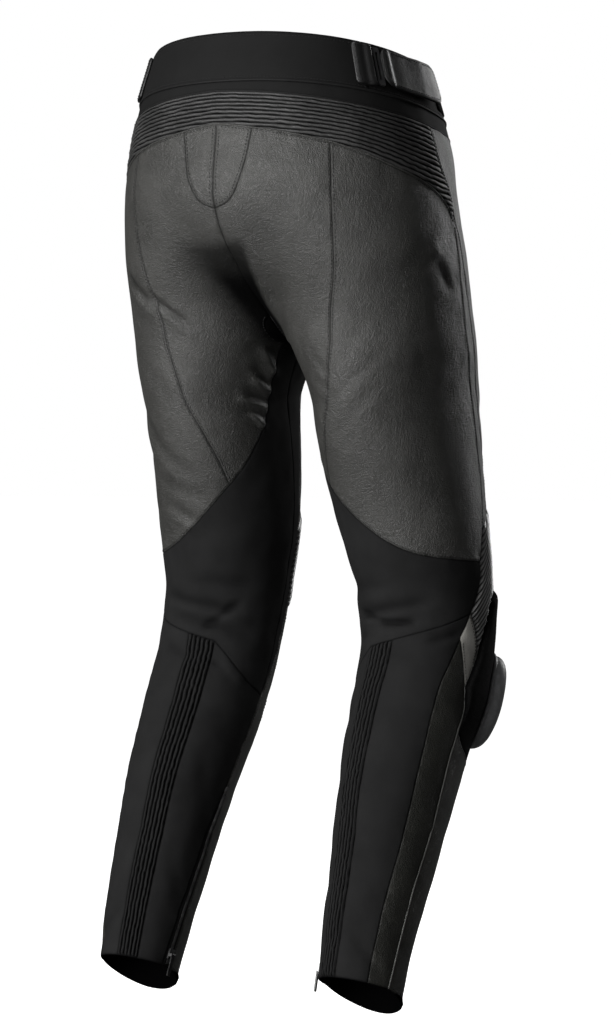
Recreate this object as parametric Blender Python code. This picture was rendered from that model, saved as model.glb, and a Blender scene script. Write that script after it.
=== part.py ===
"""Motorcycle trousers: a hollow pair of leather and stretch-cloth trousers, held at the waist.

Metres, +Z up. The front of the trousers faces -Y and the wearer's left is +X. The origin is the
middle of the waist seam, where the wearer holds the trousers up.

The cloth is one form. A place on it is (round, down): round runs from 0 at the centre back, over
0.25 at the back of the leg, 0.5 at the side seam and 0.75 at the front, to 1 at the centre front;
down is the drop below the waist seam. Every piece is a wall between two offsets of that form,
inside a loop of named seams.
"""
import math

import bmesh
import bpy
import numpy as np
from mathutils import Matrix, Vector
from mathutils.geometry import delaunay_2d_cdt

# Driving dimensions
SEAM_GAP = 0.0003
LEATHER = 0.0020
STRETCH = 0.0018
BAND_WALL = 0.0034
PLAIN_EDGE = 0.029
SEAM_STEP = 0.026
ROUND_LENGTH = 0.50
WAIST_TOP = -0.053
HEM = 0.917
CROTCH = 0.242
SEAT_TOP = 0.105
BLEND_OVER = 0.030
CLEFT = 0.075
CROTCH_SPREAD = 0.060
WAIST_SLOPE = 0.17
WAIST_SLOPE_FADE = (0.02, 0.18)
LAY_ON = 0.0006

# The seat ring's front corners are squarer at the waist, and the front hem dips
FRONT_SQUARENESS = 0.75
SQUARE_FADE = (0.0, 0.12)
HEM_DIP = 0.015

# The padded knee base: how far its outer skin stands off the form, and where that fades out
PAD_HEIGHT = {"slider_base": 0.0070}
PAD_FADE_ROUND = (0.72, 0.90)
PAD_FADE_DOWN = (0.610, 0.672)
YOKE_RIB_PITCH = (0.0039, 0.0054)
KNEE_RIB_PITCH = 0.0058
CALF_RIBS = 6
RIB_HEIGHT = 0.0011
RIB_MARGIN = 0.0016
PATCH_EDGE = 0.016
GRID_MARGIN = 0.52
YOKE_COLUMNS = (-0.56, 0.561, 0.044)
KNEE_COLUMNS = (0.48, 0.981, 0.040)
KNEE_ARCH = (0.400, 0.78, 0.85)
CALF_STEP = 0.026
CALF_TOP = 0.578
RIB_ROW_LIMIT = 60
KNEE_SLIDER_PLACE = (0.690, 0.6135)
KNEE_SLIDER_HALF = (0.037, 0.045)
KNEE_SLIDER_RISE = 0.0180
KNEE_SLIDER_RIM = 0.0055
KNEE_SLIDER_SQUARENESS = 2.6
KNEE_SLIDER_DOME = 3.2
KNEE_SLIDER_NARROWING = 0.16
ANKLE_SLIDER_PLACE = (0.0585, 0.905)
ANKLE_PIN_OUT = 0.0052
ANKLE_PIN_RADIUS = 0.0006
ANKLE_EYE_RADIUS = 0.0010
ANKLE_KNUCKLE_RADIUS = 0.0019

# Sections of the seat, from the waistband's top edge down
TRUNK_COLUMNS = ("down", "half_width", "back", "front")
TRUNK_ROWS = (
    (-0.053, 0.150, 0.138, 0.106),
    (0.000, 0.167, 0.149, 0.115),
    (0.045, 0.181, 0.150, 0.117),
    (0.110, 0.190, 0.160, 0.131),
    (0.170, 0.196, 0.166, 0.137),
    (0.242, 0.198, 0.148, 0.124),
    (0.300, 0.194, 0.140, 0.112),
)

# Sections of one leg: its edges across, its middle and depths, its tilt and outward turn in degrees
LEG_COLUMNS = ("down", "outer", "inner", "middle", "back", "front", "tilt", "turn")
LEG_ROWS = (
    (0.105, 0.190, 0.000, -0.022, 0.117, 0.116, 0.0, 0.0),
    (0.170, 0.192, 0.000, -0.023, 0.118, 0.116, 0.0, 0.0),
    (0.242, 0.194, 0.021, -0.027, 0.117, 0.114, 0.0, 3.0),
    (0.300, 0.190, 0.032, -0.034, 0.111, 0.107, -6.0, 6.0),
    (0.370, 0.192, 0.034, -0.045, 0.096, 0.094, -9.0, 8.0),
    (0.440, 0.195, 0.040, -0.056, 0.080, 0.085, -10.0, 9.0),
    (0.510, 0.195, 0.055, -0.062, 0.069, 0.084, -4.0, 10.0),
    (0.575, 0.197, 0.063, -0.051, 0.062, 0.080, 8.0, 10.0),
    (0.640, 0.198, 0.068, -0.025, 0.065, 0.077, 17.0, 10.0),
    (0.720, 0.196, 0.078, 0.011, 0.067, 0.068, 20.0, 10.0),
    (0.800, 0.192, 0.086, 0.044, 0.060, 0.054, 21.0, 10.0),
    (0.880, 0.186, 0.093, 0.077, 0.053, 0.044, 21.0, 10.0),
    (0.917, 0.183, 0.098, 0.088, 0.052, 0.044, 21.0, 10.0),
)

# The largest folds: a trough (depth below 0) or a ridge along a line, with its half width
FOLD_COLUMNS = ("round_1", "down_1", "round_2", "down_2", "half_width", "height")
FOLD_ROWS = (
    (0.40, 0.512, 0.16, 0.534, 0.010, -0.0035),
    (0.36, 0.536, 0.12, 0.566, 0.009, -0.0030),
    (0.30, 0.492, 0.10, 0.505, 0.010, -0.0022),
    (0.38, 0.524, 0.14, 0.549, 0.008, 0.0020),
    (0.31, 0.170, 0.17, 0.226, 0.014, -0.0040),
    (0.24, 0.262, 0.10, 0.300, 0.013, -0.0030),
    (0.92, 0.235, 0.80, 0.215, 0.014, -0.0035),
    (0.90, 0.262, 0.74, 0.250, 0.014, -0.0030),
)

# Named corners of the pattern on the left side: (round, down)
CORNERS = {
    "top_back": (0.0, WAIST_TOP),
    "top_side": (0.325, WAIST_TOP),
    "top_front": (1.0, WAIST_TOP),
    "waist_back": (0.0, 0.0),
    "waist_side": (0.325, 0.0),
    "waist_front": (1.0, 0.0),
    "band_back": (0.0, 0.010),
    "band_side": (0.490, 0.019),
    "band_fly": (0.955, 0.018),
    "band_front": (1.0, 0.018),
    "yoke_back": (0.0, 0.043),
    "yoke_tail": (0.065, 0.0475),
    "yoke_princess": (0.217, 0.058),
    "yoke_tip": (0.530, 0.120),
    "strip_top": (0.537, 0.099),
    "tail_low": (0.0, 0.116),
    "gusset_back": (0.0, 0.215),
    "gusset_front": (1.0, 0.206),
    "crotch_back": (0.0, CROTCH),
    "crotch_front": (1.0, CROTCH),
    "fly_low": (1.0, 0.168),
    "princess_low": (0.169, 0.384),
    "stretch_side": (0.535, 0.478),
    "knee_out_back": (0.556, 0.444),
    "knee_out_front": (0.600, 0.436),
    "knee_in": (0.966, 0.452),
    "base_out": (0.585, 0.521),
    "base_in": (0.935, 0.528),
    "shin_in": (0.965, 0.537),
    "fin_top": (0.497, 0.532),
    "fin_side": (0.522, 0.589),
    "fin_low": (0.505, 0.611),
    "fin_back": (0.465, 0.560),
    "base_low": (0.512, 0.655),
    "calf_in": (0.0, 0.627),
    "calf_in_front": (1.0, 0.627),
    "rib_out": (0.277, 0.566),
    "rib_in": (0.200, 0.575),
    "zip_top": (0.016, 0.720),
    "hem_zip_front": (0.045, HEM),
    "hem_zip_back": (0.078, HEM),
    "hem_rib_in": (0.183, HEM),
    "hem_rib_out": (0.270, HEM),
    "hem_calf_out": (0.395, HEM),
    "hem_shin_out": (0.476, HEM),
}

# Named seams: first corner, last corner, the places between them, and the step along it
SEAMS = {
    "top_edge_back": ("top_back", "top_side", (), SEAM_STEP),
    "top_edge_front": ("top_side", "top_front", (), SEAM_STEP),
    "band_joint": ("top_side", "waist_side", (), 0.018),
    "band_end": ("top_front", "waist_front", (), 0.018),
    "waist_seam_back": ("waist_back", "waist_side", (), SEAM_STEP),
    "waist_seam_front": ("waist_side", "waist_front", (), SEAM_STEP),
    "piping_end": ("waist_front", "band_front", (), 0.010),
    "piping_low_back": ("band_back", "band_side", ((0.20, 0.015), (0.35, 0.018)), SEAM_STEP),
    "piping_low_front": ("band_side", "band_fly", ((0.72, 0.019),), SEAM_STEP),
    "piping_low_fly": ("band_fly", "band_front", (), 0.012),
    "yoke_low_tail": ("yoke_back", "yoke_tail", (), SEAM_STEP),
    "yoke_low_seat": ("yoke_tail", "yoke_princess", ((0.14, 0.0525),), SEAM_STEP),
    "yoke_low_side": ("yoke_princess", "yoke_tip",
                      ((0.292, 0.066), (0.38, 0.0765), (0.463, 0.088), (0.508, 0.103)), 0.016),
    "yoke_front": ("band_side", "strip_top", ((0.490, 0.045), (0.499, 0.063), (0.519, 0.080)), 0.014),
    "yoke_end": ("strip_top", "yoke_tip", (), 0.012),
    "tail_edge": ("yoke_tail", "tail_low",
                  ((0.055, 0.077), (0.043, 0.096), (0.026, 0.110)), 0.013),
    "seat_seam_tail": ("yoke_back", "tail_low", (), 0.018),
    "seat_seam": ("tail_low", "gusset_back", (), 0.017),
    "crotch_seam_back": ("gusset_back", "crotch_back", (), 0.012),
    "princess": ("yoke_princess", "princess_low",
                 ((0.220, 0.093), (0.232, 0.136), (0.246, 0.173), (0.250, 0.211), (0.250, 0.245),
                  (0.234, 0.273), (0.215, 0.308), (0.187, 0.350)), SEAM_STEP),
    "gusset_edge_back": ("gusset_back", "princess_low",
                         ((0.033, 0.228), (0.046, 0.250), (0.052, 0.298), (0.082, 0.333),
                          (0.125, 0.362)), 0.018),
    "stretch_top": ("princess_low", "stretch_side",
                    ((0.208, 0.402), (0.26, 0.425), (0.315, 0.445), (0.37, 0.458), (0.42, 0.465),
                     (0.48, 0.472)), SEAM_STEP),
    "strip_back": ("yoke_tip", "knee_out_back",
                   ((0.523, 0.180), (0.520, 0.230), (0.530, 0.270), (0.549, 0.310),
                    (0.565, 0.370), (0.568, 0.410)), SEAM_STEP),
    "strip_front": ("strip_top", "knee_out_front",
                    ((0.546, 0.140), (0.549, 0.200), (0.556, 0.250), (0.577, 0.310),
                     (0.601, 0.370), (0.606, 0.405)), SEAM_STEP),
    "strip_low": ("knee_out_back", "knee_out_front", (), 0.012),
    "knee_top": ("knee_out_front", "knee_in", ((0.69, 0.424), (0.78, 0.421), (0.88, 0.430)), SEAM_STEP),
    "knee_back_high": ("knee_out_back", "stretch_side", (), 0.015),
    "knee_back_low": ("stretch_side", "fin_top", ((0.524, 0.506),), 0.015),
    "knee_inner": ("knee_in", "shin_in", ((0.970, 0.495),), SEAM_STEP),
    "knee_low": ("base_out", "base_in", ((0.66, 0.513), (0.76, 0.510), (0.86, 0.516)), SEAM_STEP),
    "knee_low_inner": ("base_in", "shin_in", (), 0.012),
    "fin_front": ("fin_top", "fin_side", ((0.517, 0.553), (0.527, 0.572)), 0.014),
    "base_back_high": ("base_out", "fin_side", ((0.567, 0.537), (0.545, 0.558), (0.531, 0.576)), 0.015),
    "base_back_low": ("fin_side", "fin_low", (), 0.013),
    "base_back_piping": ("fin_low", "base_low", ((0.518, 0.634),), 0.015),
    "base_bottom": ("base_low", "base_in",
                    ((0.545, 0.668), (0.62, 0.676), (0.72, 0.680), (0.82, 0.672), (0.895, 0.650),
                     (0.932, 0.610), (0.942, 0.568)), 0.018),
    "fin_rear": ("fin_top", "fin_back", ((0.480, 0.547),), 0.014),
    "fin_under": ("fin_back", "fin_low", ((0.477, 0.577), (0.491, 0.595)), 0.014),
    "gusset_edge_front": ("gusset_front", "knee_in",
                          ((0.958, 0.216), (0.928, 0.236), (0.920, 0.270), (0.930, 0.320),
                           (0.948, 0.370), (0.962, 0.415)), 0.015),
    "fly_edge": ("band_fly", "fly_low", ((0.955, 0.115), (0.974, 0.152)), 0.018),
    "front_seam_fly": ("band_front", "fly_low", (), 0.018),
    "front_seam": ("fly_low", "gusset_front", (), 0.016),
    "crotch_seam_front": ("gusset_front", "crotch_front", (), 0.012),
    "inseam": ("crotch_back", "calf_in", (), SEAM_STEP),
    "shin_top_inner": ("shin_in", "calf_in_front", ((0.976, 0.583),), 0.018),
    "calf_top_outer": ("fin_top", "rib_out", ((0.44, 0.541), (0.378, 0.551)), SEAM_STEP),
    "calf_top_rib": ("rib_out", "rib_in", (), 0.010),
    "calf_top_inner": ("rib_in", "calf_in", ((0.135, 0.600), (0.08, 0.616)), 0.018),
    "shin_back": ("fin_back", "hem_calf_out",
                  ((0.435, 0.595), (0.421, 0.630), (0.419, 0.700), (0.418, 0.742), (0.41, 0.791),
                   (0.40, 0.835), (0.397, 0.876)), SEAM_STEP),
    "shin_piping": ("base_low", "hem_shin_out",
                    ((0.506, 0.692), (0.505, 0.738), (0.497, 0.777), (0.485, 0.822),
                     (0.484, 0.869)), SEAM_STEP),
    "rib_edge_out": ("rib_out", "hem_rib_out", ((0.268, 0.640), (0.266, 0.720), (0.270, 0.820)), SEAM_STEP),
    "rib_edge_in": ("rib_in", "hem_rib_in", ((0.192, 0.640), (0.190, 0.720), (0.190, 0.820)), SEAM_STEP),
    "shin_inner": ("calf_in", "zip_top", ((0.010, 0.672),), SEAM_STEP),
    "zip_front": ("zip_top", "hem_zip_front", ((0.020, 0.780), (0.032, 0.850)), SEAM_STEP),
    "zip_back": ("zip_top", "hem_zip_back", ((0.042, 0.780), (0.061, 0.850)), SEAM_STEP),
    "hem_calf_inner": ("hem_zip_back", "hem_rib_in", (), 0.016),
    "hem_rib": ("hem_rib_in", "hem_rib_out", (), 0.012),
    "hem_calf_outer": ("hem_rib_out", "hem_calf_out", (), 0.016),
    "hem_shin_outer": ("hem_calf_out", "hem_shin_out", (), 0.016),
    "hem_shin_front": ("hem_shin_out", "hem_zip_front+",
                       ((0.60, HEM + 0.008), (0.76, HEM + HEM_DIP), (0.92, HEM + 0.008)), 0.016),
    "hem_zip": ("hem_zip_front", "hem_zip_back", (), 0.012),
}

# Looks of the stand-in materials: colour, roughness, metallic
FINISHES = {
    "leather": ((0.045, 0.044, 0.042, 1.0), 0.48, 0.0),
    "leather_light": ((0.085, 0.084, 0.080, 1.0), 0.42, 0.0),
    "stretch": ((0.013, 0.013, 0.014, 1.0), 0.90, 0.0),
    "waistband": ((0.018, 0.018, 0.018, 1.0), 0.70, 0.0),
    "hook_tape": ((0.035, 0.035, 0.036, 1.0), 0.95, 0.0),
    "zip_tape": ((0.010, 0.010, 0.010, 1.0), 0.85, 0.0),
    "slider_plastic": ((0.11, 0.11, 0.11, 1.0), 0.50, 0.0),
    "metal": ((0.10, 0.10, 0.10, 1.0), 0.35, 1.0),
}

# Panels on each side: the seams round them in order ("-" runs backwards, "+" is a turn further
# round), wall, finish, edge length and ribs
PANELS = {
    "tail_patch": (("yoke_low_tail", "tail_edge", "-seat_seam_tail"), LEATHER, "leather", 0.020, None),
    "seat_back": (("yoke_low_seat", "princess", "-gusset_edge_back", "-seat_seam", "-tail_edge"),
                  LEATHER, "leather", PLAIN_EDGE, None),
    "thigh_back": (("yoke_low_side", "strip_back", "knee_back_high", "-stretch_top", "-princess"),
                   LEATHER, "leather", PLAIN_EDGE, None),
    "side_strip": (("-yoke_end", "strip_front", "-strip_low", "-strip_back"),
                   LEATHER, "leather", 0.022, None),
    "stretch_back": (("gusset_edge_back", "stretch_top", "knee_back_low", "calf_top_outer",
                      "calf_top_rib", "calf_top_inner", "-inseam", "-crotch_seam_back"),
                     STRETCH, "stretch", 0.0215, None),
    "stretch_front": (("gusset_edge_front", "knee_inner", "shin_top_inner", "-inseam+",
                       "-crotch_seam_front"), STRETCH, "stretch", PLAIN_EDGE, None),
    "knee_ribs": (("strip_low", "knee_top", "knee_inner", "-knee_low_inner", "-knee_low",
                   "base_back_high", "-fin_front", "-knee_back_low", "-knee_back_high"),
                  LEATHER, "leather", 0.020, "knee"),
    "knee_fin": (("fin_rear", "fin_under", "-base_back_low", "-fin_front"),
                 LEATHER, "leather_light", 0.018, None),
    "slider_base": (("knee_low", "-base_bottom", "-base_back_piping", "-base_back_low",
                     "-base_back_high"), LEATHER, "hook_tape", 0.017, None),
    "calf_inner": (("-calf_top_inner", "rib_edge_in", "-hem_calf_inner", "-zip_back",
                    "-shin_inner"), STRETCH, "stretch", PLAIN_EDGE, None),
    "calf_ribs": (("-calf_top_rib", "rib_edge_out", "-hem_rib", "-rib_edge_in"),
                  STRETCH, "stretch", 0.026, "calf"),
    "calf_outer": (("-calf_top_outer", "fin_rear", "shin_back", "-hem_calf_outer",
                    "-rib_edge_out"), STRETCH, "stretch", PLAIN_EDGE, None),
    "shin_outer": (("fin_under", "base_back_piping", "shin_piping", "-hem_shin_outer",
                    "-shin_back"), LEATHER, "leather", PLAIN_EDGE, None),
    "shin_front": (("base_bottom", "knee_low_inner", "shin_top_inner", "shin_inner+", "zip_front+",
                    "-hem_shin_front", "-shin_piping"), LEATHER, "leather", PLAIN_EDGE, None),
    "ankle_zip_tape": (("zip_back", "-hem_zip", "-zip_front"), STRETCH, "zip_tape", 0.016, None),
    "waistband_front": (("top_edge_front", "band_end", "-waist_seam_front", "-band_joint"),
                        BAND_WALL, "waistband", 0.027, None),
}
FRONT_LEFT = ("piping_low_front", "fly_edge", "front_seam", "gusset_edge_front", "-knee_top",
              "-strip_front", "-yoke_front")
FRONT_RIGHT = ("piping_low_front", "piping_low_fly", "front_seam_fly", "front_seam",
               "gusset_edge_front", "-knee_top", "-strip_front", "-yoke_front")
FLY = ("piping_low_fly", "front_seam_fly", "-fly_edge")

# Panels across the centre back: the left half's seams, then the same ones mirrored ("~")
CENTRE_PANELS = {
    "waistband_back": (("top_edge_back", "band_joint", "-waist_seam_back", "waist_seam_back~",
                        "-band_joint~", "-top_edge_back~"), BAND_WALL, "waistband", 0.027, None),
    "waist_piping": (("waist_seam_back", "waist_seam_front", "piping_end", "-piping_low_fly",
                      "-piping_low_front", "-piping_low_back", "piping_low_back~",
                      "piping_low_front~", "piping_low_fly~", "-piping_end~",
                      "-waist_seam_front~", "-waist_seam_back~"), LEATHER, "waistband", 0.02, None),
    "yoke_ribs": (("piping_low_back", "yoke_front", "yoke_end", "-yoke_low_side",
                   "-yoke_low_seat", "-yoke_low_tail", "yoke_low_tail~", "yoke_low_seat~",
                   "yoke_low_side~", "-yoke_end~", "-yoke_front~", "-piping_low_back~"),
                  LEATHER, "leather", 0.027, "yoke"),
}


def smooth_step(value, low, high):
    """0 below low, 1 above high, and an even S between them."""
    part = np.clip((value - low) / (high - low), 0.0, 1.0)
    return part * part * (3.0 - 2.0 * part)


def table_curve(value, places, heights):
    """A smooth curve through a table's rows that never overshoots them."""
    gap = np.diff(places)
    rise = np.diff(heights) / gap
    slope = np.zeros(len(places))
    slope[0] = rise[0]
    slope[-1] = rise[-1]
    near = 2.0 * gap[1:] + gap[:-1]
    far = gap[1:] + 2.0 * gap[:-1]
    same_way = rise[:-1] * rise[1:] > 0.0
    safe_low = np.where(same_way, rise[:-1], 1.0)
    safe_high = np.where(same_way, rise[1:], 1.0)
    slope[1:-1] = np.where(same_way, (near + far) / (near / safe_low + far / safe_high), 0.0)
    row = np.clip(np.searchsorted(places, value, side="right") - 1, 0, len(places) - 2)
    part = np.clip((value - places[row]) / gap[row], 0.0, 1.0)
    rest = 1.0 - part
    return ((1.0 + 2.0 * part) * rest**2 * heights[row] + part * rest**2 * gap[row] * slope[row]
            + part**2 * (3.0 - 2.0 * part) * heights[row + 1]
            - part**2 * rest * gap[row] * slope[row + 1])


def columns(names, rows):
    """A table as one array for each named column."""
    return {name: np.array([row[index] for row in rows]) for index, name in enumerate(names)}


TRUNK = columns(TRUNK_COLUMNS, TRUNK_ROWS)
LEG = columns(LEG_COLUMNS, LEG_ROWS)
FOLDS = columns(FOLD_COLUMNS, FOLD_ROWS)


def seat_ring(turn, down):
    """Half a ring of the seat, from the centre back round the side to the centre front."""
    down = np.clip(down, TRUNK["down"][0], TRUNK["down"][-1])
    angle = np.pi * turn
    lean = np.cos(angle)
    depth = np.where(lean > 0.0, table_curve(down, TRUNK["down"], TRUNK["back"]),
                     table_curve(down, TRUNK["down"], TRUNK["front"]))
    width = table_curve(down, TRUNK["down"], TRUNK["half_width"])
    fade = smooth_step(down, *SQUARE_FADE)
    across_power = np.where(lean > 0.0, 0.92, FRONT_SQUARENESS + (0.92 - FRONT_SQUARENESS) * fade)
    depth_power = np.where(lean > 0.0, 0.96, FRONT_SQUARENESS + (0.96 - FRONT_SQUARENESS) * fade)
    across = width * np.abs(np.sin(angle)) ** across_power
    along = depth * np.sign(lean) * np.abs(lean) ** depth_power
    return np.stack([across, along, np.zeros_like(across)], axis=-1)


def leg_ring(turn, down):
    """A whole ring of the left leg, tilted across its line and turned a little outwards."""
    row = np.clip(down, LEG["down"][0], LEG["down"][-1])
    value = {name: table_curve(row, LEG["down"], LEG[name]) for name in LEG_COLUMNS[1:]}
    spread = np.sqrt(np.clip((down - CROTCH) / CROTCH_SPREAD, 0.0, 1.0))
    inner = value["inner"] * spread
    half = (value["outer"] - inner) / 2.0
    angle = 2.0 * np.pi * turn
    lean = np.sin(angle)
    flat_x = -half * np.cos(angle)
    flat_y = np.where(lean > 0.0, value["back"], value["front"]) * lean
    outward = np.radians(value["turn"]) * smooth_step(down, CROTCH, 0.33)
    tilt = np.radians(value["tilt"])
    turned_x = flat_x * np.cos(outward) - flat_y * np.sin(outward)
    turned_y = flat_y * np.cos(outward) + flat_x * np.sin(outward)
    return np.stack([(value["outer"] + inner) / 2.0 + turned_x,
                     value["middle"] + turned_y * np.cos(tilt),
                     turned_y * np.sin(tilt)], axis=-1)


def pad_height(places):
    """How far the padded knee base stands off the form at each place."""
    beside = 1.0 - smooth_step(places[:, 0], *PAD_FADE_ROUND)
    return PAD_HEIGHT["slider_base"] * beside * (1.0 - smooth_step(places[:, 1], *PAD_FADE_DOWN))


def fold_height(turn, down):
    """How far the folds lift or sink the cloth."""
    total = np.zeros_like(down)
    for index in range(len(FOLD_ROWS)):
        start = np.array([FOLDS["round_1"][index] * ROUND_LENGTH, FOLDS["down_1"][index]])
        end = np.array([FOLDS["round_2"][index] * ROUND_LENGTH, FOLDS["down_2"][index]])
        run = end - start
        place = np.stack([turn * ROUND_LENGTH, down], axis=-1) - start
        part = (place @ run) / (run @ run)
        near = np.clip(part, 0.0, 1.0)
        away = np.linalg.norm(place - near[..., None] * run, axis=-1)
        fade = smooth_step(part, -0.15, 0.3) * (1.0 - smooth_step(part, 0.7, 1.15))
        total = total + FOLDS["height"][index] * np.exp(-(away / FOLDS["half_width"][index]) ** 2) * fade
    return total


def plain_form(turn, down):
    """The cloth without its folds.

    Seat and leg blend evenly, and along the centre like a closing arch towards the crotch.
    """
    arch = np.sqrt(np.clip((CROTCH - down) / (CROTCH - SEAT_TOP), 0.0, 1.0))
    even = 1.0 - smooth_step(down, SEAT_TOP - BLEND_OVER, CROTCH + BLEND_OVER)
    centre = np.exp(-((np.minimum(turn, 1.0 - turn) / CLEFT) ** 2))
    part = (centre * arch + (1.0 - centre) * even)[..., None]
    seat = seat_ring(turn, down)
    point = part * seat + (1.0 - part) * leg_ring(turn, down)
    fade = 1.0 - smooth_step(down, *WAIST_SLOPE_FADE)
    point[..., 2] += WAIST_SLOPE * seat[..., 1] * fade - down
    return point


def plain_normal(turn, down):
    """The outward direction of the cloth."""
    small = 2e-4
    about = plain_form(turn + small, down) - plain_form(turn - small, down)
    below = plain_form(turn, down + small) - plain_form(turn, down - small)
    across = np.cross(about, below)
    return across / np.linalg.norm(across, axis=-1, keepdims=True)


def cloth(places, lift):
    """Points of the left half at (round, down), lifted off the cloth.

    Above the crotch a round below 0 or above 1 lies on the mirrored half. Below it, a round above 1
    starts round the same leg again.
    """
    turn, down = places[:, 0], places[:, 1]
    seat = down < CROTCH
    other = seat & ((turn < 0.0) | (turn > 1.0))
    own = np.where(seat, np.where(turn < 0.0, -turn, np.where(turn > 1.0, 2.0 - turn, turn)),
                   np.where(turn > 1.0, turn - 1.0, turn))
    inside = np.clip(own, 3e-4, 1.0 - 3e-4)
    at_seam = np.where(seat, own, inside)
    point = plain_form(at_seam, down)
    normal = plain_normal(np.where(seat, inside, own % 1.0), down)
    on_centre = seat & (down < SEAT_TOP) & ((own < 1e-6) | (own > 1.0 - 1e-6))
    normal[on_centre, 0] = 0.0
    normal /= np.linalg.norm(normal, axis=1, keepdims=True)
    point = point + normal * (lift + fold_height(own, down))[:, None]
    point[other, 0] *= -1.0
    normal[other, 0] *= -1.0
    return point, normal


def through(points, step):
    """Places along a smooth curve through the given ones, evenly spaced on the cloth."""
    points = np.array(points, dtype=float)
    if len(points) == 2:
        fine = points[0] + np.linspace(0.0, 1.0, 60)[:, None] * (points[1] - points[0])
    else:
        chord = np.linalg.norm(np.diff(points * (ROUND_LENGTH, 1.0), axis=0), axis=1)
        knots = np.concatenate([[0.0], np.cumsum(np.sqrt(chord))])
        along = np.linspace(0.0, knots[-1], 400)
        fine = np.stack([natural_spline(along, knots, points[:, axis]) for axis in (0, 1)], axis=1)
    solid, _ = cloth(fine, np.zeros(len(fine)))
    length = np.concatenate([[0.0], np.cumsum(np.linalg.norm(np.diff(solid, axis=0), axis=1))])
    count = max(1, int(round(length[-1] / step)))
    marks = np.linspace(0.0, length[-1], count + 1)
    result = np.stack([np.interp(marks, length, fine[:, axis]) for axis in (0, 1)], axis=1)
    result[0] = points[0]
    result[-1] = points[-1]
    return result


def natural_spline(value, knots, heights):
    """A natural cubic spline through the knots."""
    count = len(knots)
    gap = np.diff(knots)
    matrix = np.eye(count)
    right = np.zeros(count)
    for index in range(1, count - 1):
        matrix[index, index - 1] = gap[index - 1]
        matrix[index, index] = 2.0 * (gap[index - 1] + gap[index])
        matrix[index, index + 1] = gap[index]
        right[index] = 6.0 * ((heights[index + 1] - heights[index]) / gap[index]
                              - (heights[index] - heights[index - 1]) / gap[index - 1])
    bend = np.linalg.solve(matrix, right)
    row = np.clip(np.searchsorted(knots, value, side="right") - 1, 0, count - 2)
    after = value - knots[row]
    before = knots[row + 1] - value
    return ((bend[row] * before**3 + bend[row + 1] * after**3) / (6.0 * gap[row])
            + (heights[row] / gap[row] - bend[row] * gap[row] / 6.0) * before
            + (heights[row + 1] / gap[row] - bend[row + 1] * gap[row] / 6.0) * after)


def corner(name):
    """A named corner; a "+" after its name is a whole turn further round."""
    turn, down = CORNERS[name.rstrip("+")]
    return turn + (1.0 if name.endswith("+") else 0.0), down


def sample_seams():
    """The places along each named seam, which both of its panels share."""
    return {name: through([corner(first), *between, corner(last)], step)
            for name, (first, last, between, step) in SEAMS.items()}


def loop_of(seams, names):
    """One closed loop of places from named seams, anticlockwise in (round, down)."""
    runs = []
    for name in names:
        run = seams[name.strip("-+~")]
        if name.endswith("~"):
            run = run * (-1.0, 1.0)
        if name.endswith("+"):
            run = run + (1.0, 0.0)
        if name.startswith("-"):
            run = run[::-1]
        runs.append(run)
    ordered = [runs[0]]
    for run in runs[1:]:
        end = ordered[-1][-1]
        backwards = np.linalg.norm(run[-1] - end) < np.linalg.norm(run[0] - end)
        ordered.append(run[::-1] if backwards else run)
    loop = np.concatenate([run[:-1] for run in ordered])
    turned = np.roll(loop, -1, axis=0)
    area = np.sum(loop[:, 0] * turned[:, 1] - turned[:, 0] * loop[:, 1])
    return loop if area > 0.0 else loop[::-1]


def inside_loop(places, loop, margin):
    """Which places lie inside a loop and at least a margin, in metres, from its edge."""
    scale = np.array([ROUND_LENGTH, 1.0])
    point = places * scale
    start = loop * scale
    end = np.roll(start, -1, axis=0)
    run = end - start
    offset = point[:, None, :] - start[None, :, :]
    part = np.clip((offset * run).sum(-1) / (run * run).sum(-1), 0.0, 1.0)
    away = np.linalg.norm(offset - part[..., None] * run, axis=-1).min(axis=1)
    above = (start[None, :, 1] > point[:, None, 1]) != (end[None, :, 1] > point[:, None, 1])
    rise = np.where(np.abs(run[:, 1]) < 1e-12, 1e-12, run[:, 1])
    crossing = start[None, :, 0] + (point[:, None, 1] - start[None, :, 1]) / rise * run[None, :, 0]
    hits = (above & (point[:, None, 0] < crossing)).sum(axis=1)
    return (hits % 2 == 1) & (away > margin)


def inner_grid(loop, edge):
    """Evenly staggered places inside a loop."""
    low = loop.min(axis=0)
    high = loop.max(axis=0)
    rows = np.arange(low[1], high[1], edge * 0.866)
    step = edge / ROUND_LENGTH
    places = [np.stack([np.arange(low[0] + step * 0.5 * (index % 2), high[0], step),
                        np.full_like(np.arange(low[0] + step * 0.5 * (index % 2), high[0], step), down)],
                       axis=1) for index, down in enumerate(rows)]
    places = np.concatenate(places)
    return places[inside_loop(places, loop, edge * GRID_MARGIN)]


def triangulate(loop, extra, lines):
    """Triangles that fill a loop, using the extra places and keeping the lines between them."""
    scale = np.array([ROUND_LENGTH, 1.0])
    everything = np.concatenate([loop, extra]) if len(extra) else loop
    count = len(loop)
    edges = [(index, (index + 1) % count) for index in range(count)]
    edges += [(count + first, count + last) for first, last in lines]
    flat = [Vector(place) for place in everything * scale]
    faces = [list(range(count))]
    found, _, triangles, origin, _, _ = delaunay_2d_cdt(flat, edges, faces, 1, 1e-7)
    if len(found) != len(everything):
        raise ValueError("a seam crosses a rib row")
    to_input = [ids[0] for ids in origin]
    return [tuple(to_input[corner_id] for corner_id in triangle) for triangle in triangles]


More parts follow.
